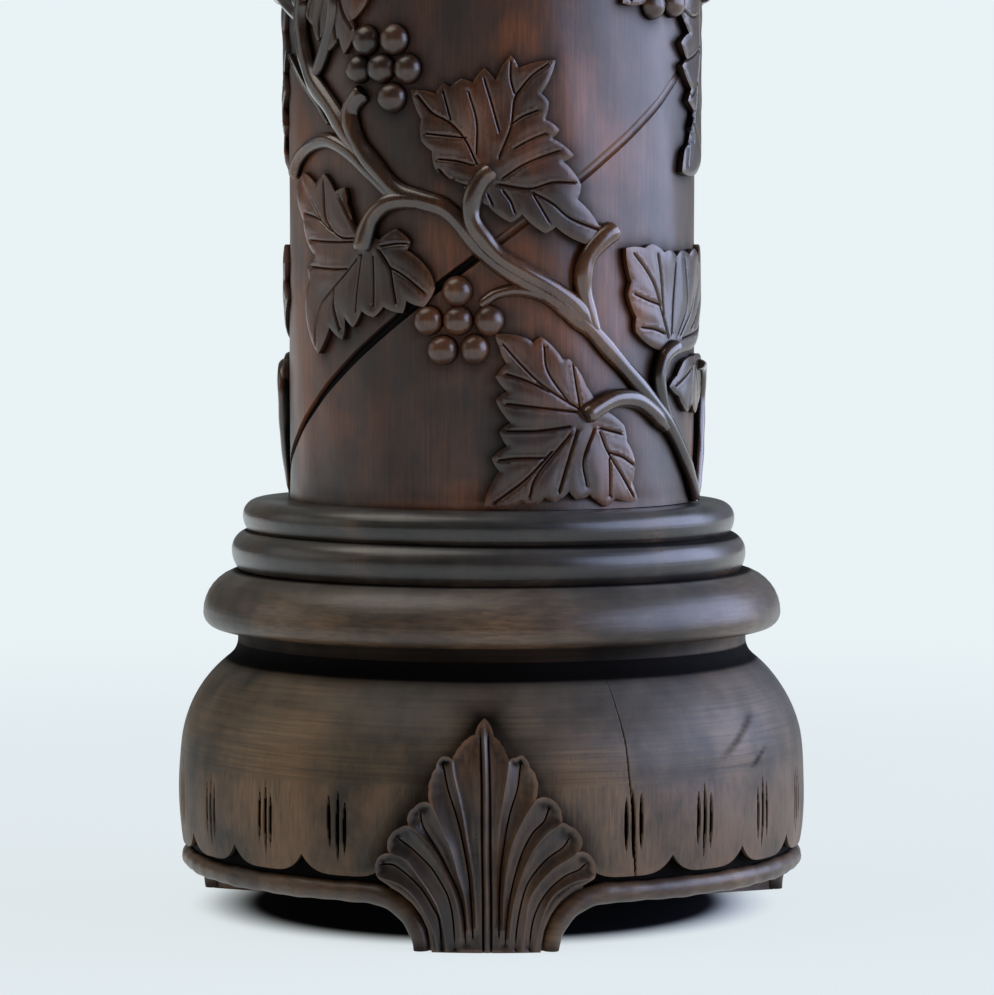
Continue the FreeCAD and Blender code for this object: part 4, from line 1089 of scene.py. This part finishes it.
# The shaft's own face: a skin of small triangles that follows the groove, closed with tenons at each end.
GROOVE_HALF_WIDTH = 2.5
GROOVE_DEPTH = 3.0
GROOVE_WEAR = 1.7
SHAFT_TENON_LENGTH = 59.0
girth = math.tau * SHAFT_RADIUS
length = SHAFT_TOP_Z - SHAFT_FOOT_Z
across = np.linspace(0, girth, 241)
levels = np.linspace(0, length, 200)
slope = HELIX_RISE / math.radians(SHAFT_RADIUS)
steepness = math.hypot(1, slope)
first = (-180.0 - HELIX_ZERO_AZIMUTH) * HELIX_RISE
lines = []
for start in (first, first + girth * slope):
    for offset in (-1.25, -1.0, -0.5, 0.0, 0.5, 1.0, 1.25):
        line = np.stack([across, start + across * slope + offset * GROOVE_HALF_WIDTH * steepness], 1)
        kept = line[(line[:, 1] > 0.8) & (line[:, 1] < length - 0.8)]
        if len(kept) > 1:
            lines.append(kept)
spread = np.stack(np.meshgrid(across, levels), -1).reshape(-1, 2)
offset = np.abs(spread[:, 1] - first - spread[:, 0] * slope)
offset = np.minimum(offset, np.abs(spread[:, 1] - first - (spread[:, 0] + girth) * slope))
edge_rows = (spread[:, 1] < 0.1) | (spread[:, 1] > length - 0.1)
spread = spread[(offset > 1.7 * GROOVE_HALF_WIDTH * steepness) | edge_rows]
edges = []
count = 0
for line in lines:
    edges += [(count + k, count + k + 1) for k in range(len(line) - 1)]
    count += len(line)
plan = delaunay_2d_cdt([Vector(p) for p in np.concatenate([*lines, spread])], edges, [], 0, 1e-3)
flat = np.array([p[:] for p in plan[0]])
faces = [list(f) for f in plan[2]]
offset = np.abs(flat[:, 1] - first - flat[:, 0] * slope)
offset = np.minimum(offset, np.abs(flat[:, 1] - first - (flat[:, 0] + girth) * slope)) / steepness
azimuth = flat[:, 0] / SHAFT_RADIUS - math.pi
worn_side = smooth_step(np.cos(azimuth - math.radians(60)), 0.3, 0.8)
groove = np.sqrt(np.clip(1 - (offset / GROOVE_HALF_WIDTH) ** 2, 0, 1))
groove *= GROOVE_DEPTH - GROOVE_WEAR * worn_side
planed = 0.16 * np.sin(azimuth * 9 + 1.3 * np.sin(flat[:, 1] / 31))
planed += 0.12 * np.sin(azimuth * 23 + flat[:, 1] / 17)
planed *= smooth_step(flat[:, 1], 0, 12) * smooth_step(length - flat[:, 1], 0, 12)
skin = around(np.degrees(azimuth), SHAFT_RADIUS - groove + planed - 0.2, SHAFT_FOOT_Z + flat[:, 1])
ends = []
for low in (True, False):
    edge_z = 0.0 if low else length
    on_edge = np.abs(flat[:, 1] - edge_z) < 0.05
    rim = np.argsort(np.where(on_edge, flat[:, 0], np.inf))[: int(on_edge.sum())]
    tenon_z = SHAFT_FOOT_Z - SHAFT_TENON_LENGTH if low else SHAFT_TOP_Z + SHAFT_TENON_LENGTH
    turn = np.degrees(azimuth[rim])
    shoulder = around(turn, TENON_RADIUS - 0.15, SHAFT_FOOT_Z + edge_z)
    tip = around(turn, TENON_RADIUS - 0.15, tenon_z)
    heart = np.repeat([[0.0, 0.0, tenon_z]], len(turn), 0)
    ends.append((np.stack([skin[rim], shoulder, tip, heart]), grid_faces(4, len(turn), False)))
points, faces = joined([(skin, faces), *ends])
shaft = wood_mesh("shaft_column", points, faces, shaft_wood, "carved_wood", "shaft")

tree_points = []
for side in GROWTH_SIDES:
    for turn, lift in GROWTH_LEVELS:
        for line in marks:
            tree_points.append(turned_to(on_shaft(line, 0.0), side + turn) + [0, 0, lift])
tree_points = np.concatenate(tree_points)
near = kdtree.KDTree(len(tree_points))
for index, point in enumerate(tree_points):
    near.insert(point * MM, index)
near.balance()


def shaft_painted_light(points, normals):
    """Darker beside the carving; painted shade over the foot of the column and in the groove on its left, and
    painted light in the groove on its right, which faces the soft box.
    """
    away = np.array([near.find(point * MM)[2] / MM for point in points])
    turn = np.degrees(np.arctan2(points[:, 0], -points[:, 1]))
    up = points[:, 2] - SHAFT_FOOT_Z
    dark = -0.5 * np.exp(-away / 3.5) - 0.35 * np.exp(-np.clip(up, 0, None) / 5.0)
    # In the groove, painted shade on the side away from the soft box and painted light on the side facing it.
    in_groove = np.hypot(points[:, 0], points[:, 1]) < SHAFT_RADIUS - 0.75
    lit = smooth_step(np.cos(np.radians(turn - 60)), 0.3, 0.7)
    return dark + in_groove * (0.7 * lit - 0.9 * (1 - lit))


shade_hollows_and_rub_ridges(shaft, 3, 0.4, shaft_painted_light)

# ----------------------------------------
# Capital. Two rings that mirror the base's, then a bell: one turned block that opens from the rings to a
# plain lip under the top. The shaft's tenon fits its socket, and a bolt well is bored in its top.
for node, size in {
    "capital_lower_ring": (115.5, 123.0, 119.5, 9.5),
    "capital_middle_ring": (120.0, 128.6, 125.5, 10.0),
}.items():
    ring = turned_piece(node + "_turned", nose_outline(node, *size), ring_wood, "turned_wood", node)
    shade_hollows_and_rub_ridges(ring, 3, 0.0)

CAPITAL_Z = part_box("capital")[0][2] / MM
TOP_BOARD_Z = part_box("top_board")[0][2] / MM
TOP_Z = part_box("top_board")[1][2] / MM
CAPITAL_NECK_RADIUS = 112.0
CAPITAL_LIP_RADIUS = 150.0
CAPITAL_LIP_Z = TOP_BOARD_Z - 9.0
CAPITAL_SOCKET_Z = CAPITAL_Z + 28.0
CAPITAL_WELL_Z = TOP_BOARD_Z - 12.0
bell_middle = 1 - math.sqrt(0.5)
bell = arc_through(
    (CAPITAL_NECK_RADIUS, CAPITAL_Z + 3.0),
    (
        CAPITAL_NECK_RADIUS + (CAPITAL_LIP_RADIUS - 3 - CAPITAL_NECK_RADIUS) * bell_middle,
        CAPITAL_Z + (CAPITAL_LIP_Z - CAPITAL_Z) * math.sqrt(0.5),
    ),
    (CAPITAL_LIP_RADIUS - 3, CAPITAL_LIP_Z - 1.5),
)
section = np.concatenate(
    [
        [(AXIS_RADIUS, CAPITAL_SOCKET_Z), (TENON_RADIUS, CAPITAL_SOCKET_Z), (TENON_RADIUS, CAPITAL_Z)],
        [(CAPITAL_NECK_RADIUS - 0.6, CAPITAL_Z), (CAPITAL_NECK_RADIUS, CAPITAL_Z + 0.6)],
        bell,
        [(CAPITAL_LIP_RADIUS - 2.4, CAPITAL_LIP_Z - 0.4), (CAPITAL_LIP_RADIUS - 0.8, CAPITAL_LIP_Z + 0.2)],
        [(CAPITAL_LIP_RADIUS, CAPITAL_LIP_Z + 1.2), (CAPITAL_LIP_RADIUS, TOP_BOARD_Z - 0.7)],
        [(CAPITAL_LIP_RADIUS - 0.7, TOP_BOARD_Z), (BOLT_WELL[0], TOP_BOARD_Z)],
        [(BOLT_WELL[0], CAPITAL_WELL_Z), (AXIS_RADIUS, CAPITAL_WELL_Z)],
    ]
)
capital = turned_piece("capital_turned", section, torus_wood, "turned_wood", "capital")
shade_hollows_and_rub_ridges(capital, 3, 0.0)

# ----------------------------------------
# Top. A round board of the same wood with a nosed edge, and a low bead turned on its upper face. The pot
# stands inside the bead. Glued and pegged to the capital.
TOP_RADIUS = 165.0
NOSE_REACH = 6.0
NOSE_TOP_Z = TOP_BOARD_Z + 21.0
BEAD_RADIUS = 153.0
nose = arc_through(
    (TOP_RADIUS - NOSE_REACH, TOP_BOARD_Z),
    (TOP_RADIUS, (TOP_BOARD_Z + NOSE_TOP_Z) / 2),
    (TOP_RADIUS - NOSE_REACH, NOSE_TOP_Z),
    1.2,
)
cove = arc_through(
    (BEAD_RADIUS, NOSE_TOP_Z + 0.6),
    (BEAD_RADIUS - 4.0, NOSE_TOP_Z + 2.2),
    (BEAD_RADIUS - 5.6, TOP_Z - 0.6),
    0.8,
)
section = np.concatenate(
    [
        [(AXIS_RADIUS, TOP_BOARD_Z)],
        nose,
        [(TOP_RADIUS - NOSE_REACH - 0.8, NOSE_TOP_Z + 0.5), (BEAD_RADIUS + 0.6, NOSE_TOP_Z + 0.4)],
        cove,
        [(BEAD_RADIUS - 6.2, TOP_Z), (110.0, TOP_Z), (60.0, TOP_Z), (AXIS_RADIUS, TOP_Z)],
    ]
)
board_wood = stained_hardwood(
    "stained_hardwood_top_board",
    (40.0, 2.0, 2.0),
    "#2a1f16",
    "#4c3828",
    "#664a33",
    gloss=0.34,
    wax=0.3,
    dust=0.08,
)
board = turned_piece("top_board_turned", section, board_wood, "turned_wood", "top_board")
shade_hollows_and_rub_ridges(board, 3, 0.0)

# ----------------------------------------
# Fixings. Beech dowels, left bare and glued in their holes, and screws, lag bolts and washers of steel with
# a dull zinc plating. All of them lie inside the wood.
ZINC_GRAINS_PER_METRE = 900.0
beech = stained_hardwood(
    "bare_beech_dowel", (1.2, 1.2, 14.0), "#a5794a", "#c29a68", "#cfa978", warmth=0.4, gloss=0.6
)
zinc = bpy.data.materials.new("dull_zinc_plated_steel")
zinc.use_nodes = True
tree = zinc.node_tree
shader = tree.nodes["Principled BSDF"]
shader.inputs["Metallic"].default_value = 1.0
place = add(tree, "TexCoord", output="Object")
spangle = add(tree, "TexNoise", {"Vector": place, "Scale": ZINC_GRAINS_PER_METRE, "Detail": 3.0})
tint = {"Factor": spangle, "A": linear("#7d7f80"), "B": linear("#a9abab")}
tint = add(tree, "Mix", tint, "Result", data_type="RGBA")
tree.links.new(tint, shader.inputs["Base Color"])
dull = add(tree, "MapRange", {"Value": spangle, "To Min": 0.34, "To Max": 0.52})
tree.links.new(dull, shader.inputs["Roughness"])
for node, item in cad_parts.items():
    if node.endswith(("_dowels", "_screw", "_bolt", "_washer")):
        item.data.materials.clear()
        item.data.materials.append(beech if node.endswith("_dowels") else zinc)

# ----------------------------------------
# Floor, light and camera. A pale studio floor that fades into a pale backdrop; a large window-like soft box
# on the right that gives the gloss, weak ones on the left, overhead and low in front; and a long lens at
# about the height of the lower leaves. Lengths here are metres.
FLOOR_RADIUS = 30.0
BACKGROUND = "#e9f2f5"
PAPER = "#e4ebed"
SHADOW = "#1d1f24"
# The shadow under the base is painted on the floor as a soft-edged disc. Round it the paper starts to glow
# as the backdrop does, by NEAR_GLOW at first and in full far out. Each range is measured from the disc's
# centre.
SHADOW_SHIFT = (0.004, -0.008, 0.0)
SHADOW_EDGE = (0.112, 0.126)
NEAR_FADE = (0.114, 0.150)
FAR_FADE = (0.5, 1.6)
NEAR_GLOW = 0.84
mesh = bpy.data.meshes.new("studio_floor")
turn = np.radians(np.arange(0, 360, 5))
edge = [(FLOOR_RADIUS * math.cos(t), FLOOR_RADIUS * math.sin(t), 0.0) for t in turn]
mesh.from_pydata(edge, [], [range(len(turn))])
paper = bpy.data.materials.new("pale_studio_floor")
paper.use_nodes = True
tree = paper.node_tree
shader = tree.nodes["Principled BSDF"]
shader.inputs["Roughness"].default_value = 0.95
shader.inputs["Specular IOR Level"].default_value = 0.1
place = add(tree, "TexCoord", output="Object")
place = add(tree, "VectorMath", {0: place, 1: SHADOW_SHIFT})
away = add(tree, "VectorMath", {0: place}, "Value", operation="LENGTH")
fades = []
for (near, far), start, end in ((SHADOW_EDGE, 1, 0), (NEAR_FADE, 0, NEAR_GLOW), (FAR_FADE, 0, 1 - NEAR_GLOW)):
    limits = {"Value": away, "From Min": near, "From Max": far, "To Min": start, "To Max": end}
    fades.append(add(tree, "MapRange", limits, interpolation_type="SMOOTHSTEP"))
shade, near_fade, far_fade = fades
shade = {"Factor": shade, "A": linear(PAPER), "B": linear(SHADOW)}
shade = add(tree, "Mix", shade, "Result", data_type="RGBA")
tree.links.new(shade, shader.inputs["Base Color"])
fade = add(tree, "Math", {0: near_fade, 1: far_fade})
rays = [add(tree, "LightPath", output=ray) for ray in ("Is Camera Ray", "Is Glossy Ray")]
seen = add(tree, "Math", dict(enumerate(rays)), operation="MAXIMUM")
seen_fade = add(tree, "Math", {0: fade, 1: seen}, operation="MULTIPLY")
glow = add(tree, "Emission", {"Color": linear(BACKGROUND), "Strength": 1.0})
mixed = add(tree, "MixShader", {0: seen_fade, 1: shader.outputs[0], 2: glow})
tree.links.new(mixed, tree.nodes["Material Output"].inputs["Surface"])
mesh.materials.append(paper)
floor = bpy.data.objects.new("studio_floor", mesh)
bpy.context.scene.collection.objects.link(floor)

# The room: pale behind the stand and to its right, dark behind the camera.
PALE_SIDE = (0.5, 0.87, 0.0)
LIGHT_BEHIND = 0.24
LIGHT_IN_FRONT = 0.04
world = bpy.data.worlds.new("studio")
world.use_nodes = True
bpy.context.scene.world = world
tree = world.node_tree
sky = tree.nodes["Background"]
sky.inputs["Color"].default_value = linear(BACKGROUND)
camera_ray = add(tree, "LightPath", output="Is Camera Ray")
way = add(tree, "TexCoord", output="Generated")
way = add(tree, "VectorMath", {0: way, 1: PALE_SIDE}, "Value", operation="DOT_PRODUCT")
room = {"Value": way, "From Min": -0.1, "From Max": 0.9, "To Min": LIGHT_IN_FRONT, "To Max": LIGHT_BEHIND}
room = add(tree, "MapRange", room)
level = add(tree, "Math", {0: room, 1: camera_ray}, operation="MAXIMUM")
tree.links.new(level, sky.inputs["Strength"])


def soft_box(name, place, aim, size, watts, colour, mirrored=True):
    """A lamp behind a rectangle of diffusing cloth. One that isn't mirrored lights the wood without a
    gleam."""
    lamp = bpy.data.lights.new(name, "AREA")
    lamp.shape = "RECTANGLE"
    lamp.size, lamp.size_y = size
    lamp.energy = watts
    lamp.color = linear(colour)[:3]
    box = bpy.data.objects.new(name, lamp)
    box.visible_camera = False
    box.visible_glossy = mirrored
    box.location = place
    box.rotation_euler = (Vector(aim) - Vector(place)).to_track_quat("-Z", "Y").to_euler()
    bpy.context.scene.collection.objects.link(box)


soft_box("window_right", (2.35, -0.15, 1.0), (0, 0, 0.3), (3.9, 1.8), 106, "#ccd8ff")
soft_box("window_left", (-2.2, 0.1, 0.9), (0, 0, 0.15), (1.8, 1.0), 4, "#fbfbf6")
soft_box("front_fill", (-0.5, -1.2, 0.1), (0, 0, 0.02), (0.8, 0.3), 4.6, "#fff0dc", mirrored=False)
soft_box("ceiling", (-0.9, -0.2, 2.2), (0, 0, 0.2), (1.6, 1.6), 18, "#fff8ee")

CAMERA_DISTANCE = 2.075
CAMERA_HEIGHT = 0.3195
CAMERA_ORBIT = 1.0
CAMERA_TILT = 3.18
FOCAL_PIXELS = 4150.0
FRAME_PIXELS = 995.0
SENSOR = 36.0
AXIS_PIXELS_LEFT = 5.25
lens = bpy.data.cameras.new("long_lens")
lens.sensor_width = SENSOR
lens.lens = FOCAL_PIXELS / FRAME_PIXELS * SENSOR
lens.clip_start, lens.clip_end = 0.1, 30.0
camera = bpy.data.objects.new("camera", lens)
camera.location = Vector(around(CAMERA_ORBIT, CAMERA_DISTANCE, CAMERA_HEIGHT).tolist())
aside = math.degrees(math.atan(AXIS_PIXELS_LEFT / FOCAL_PIXELS))
camera.rotation_euler = [math.radians(a) for a in (90 - CAMERA_TILT, 0, CAMERA_ORBIT - aside)]
bpy.context.scene.collection.objects.link(camera)
bpy.context.scene.camera = camera
bpy.context.scene.view_settings.view_transform = "Standard"
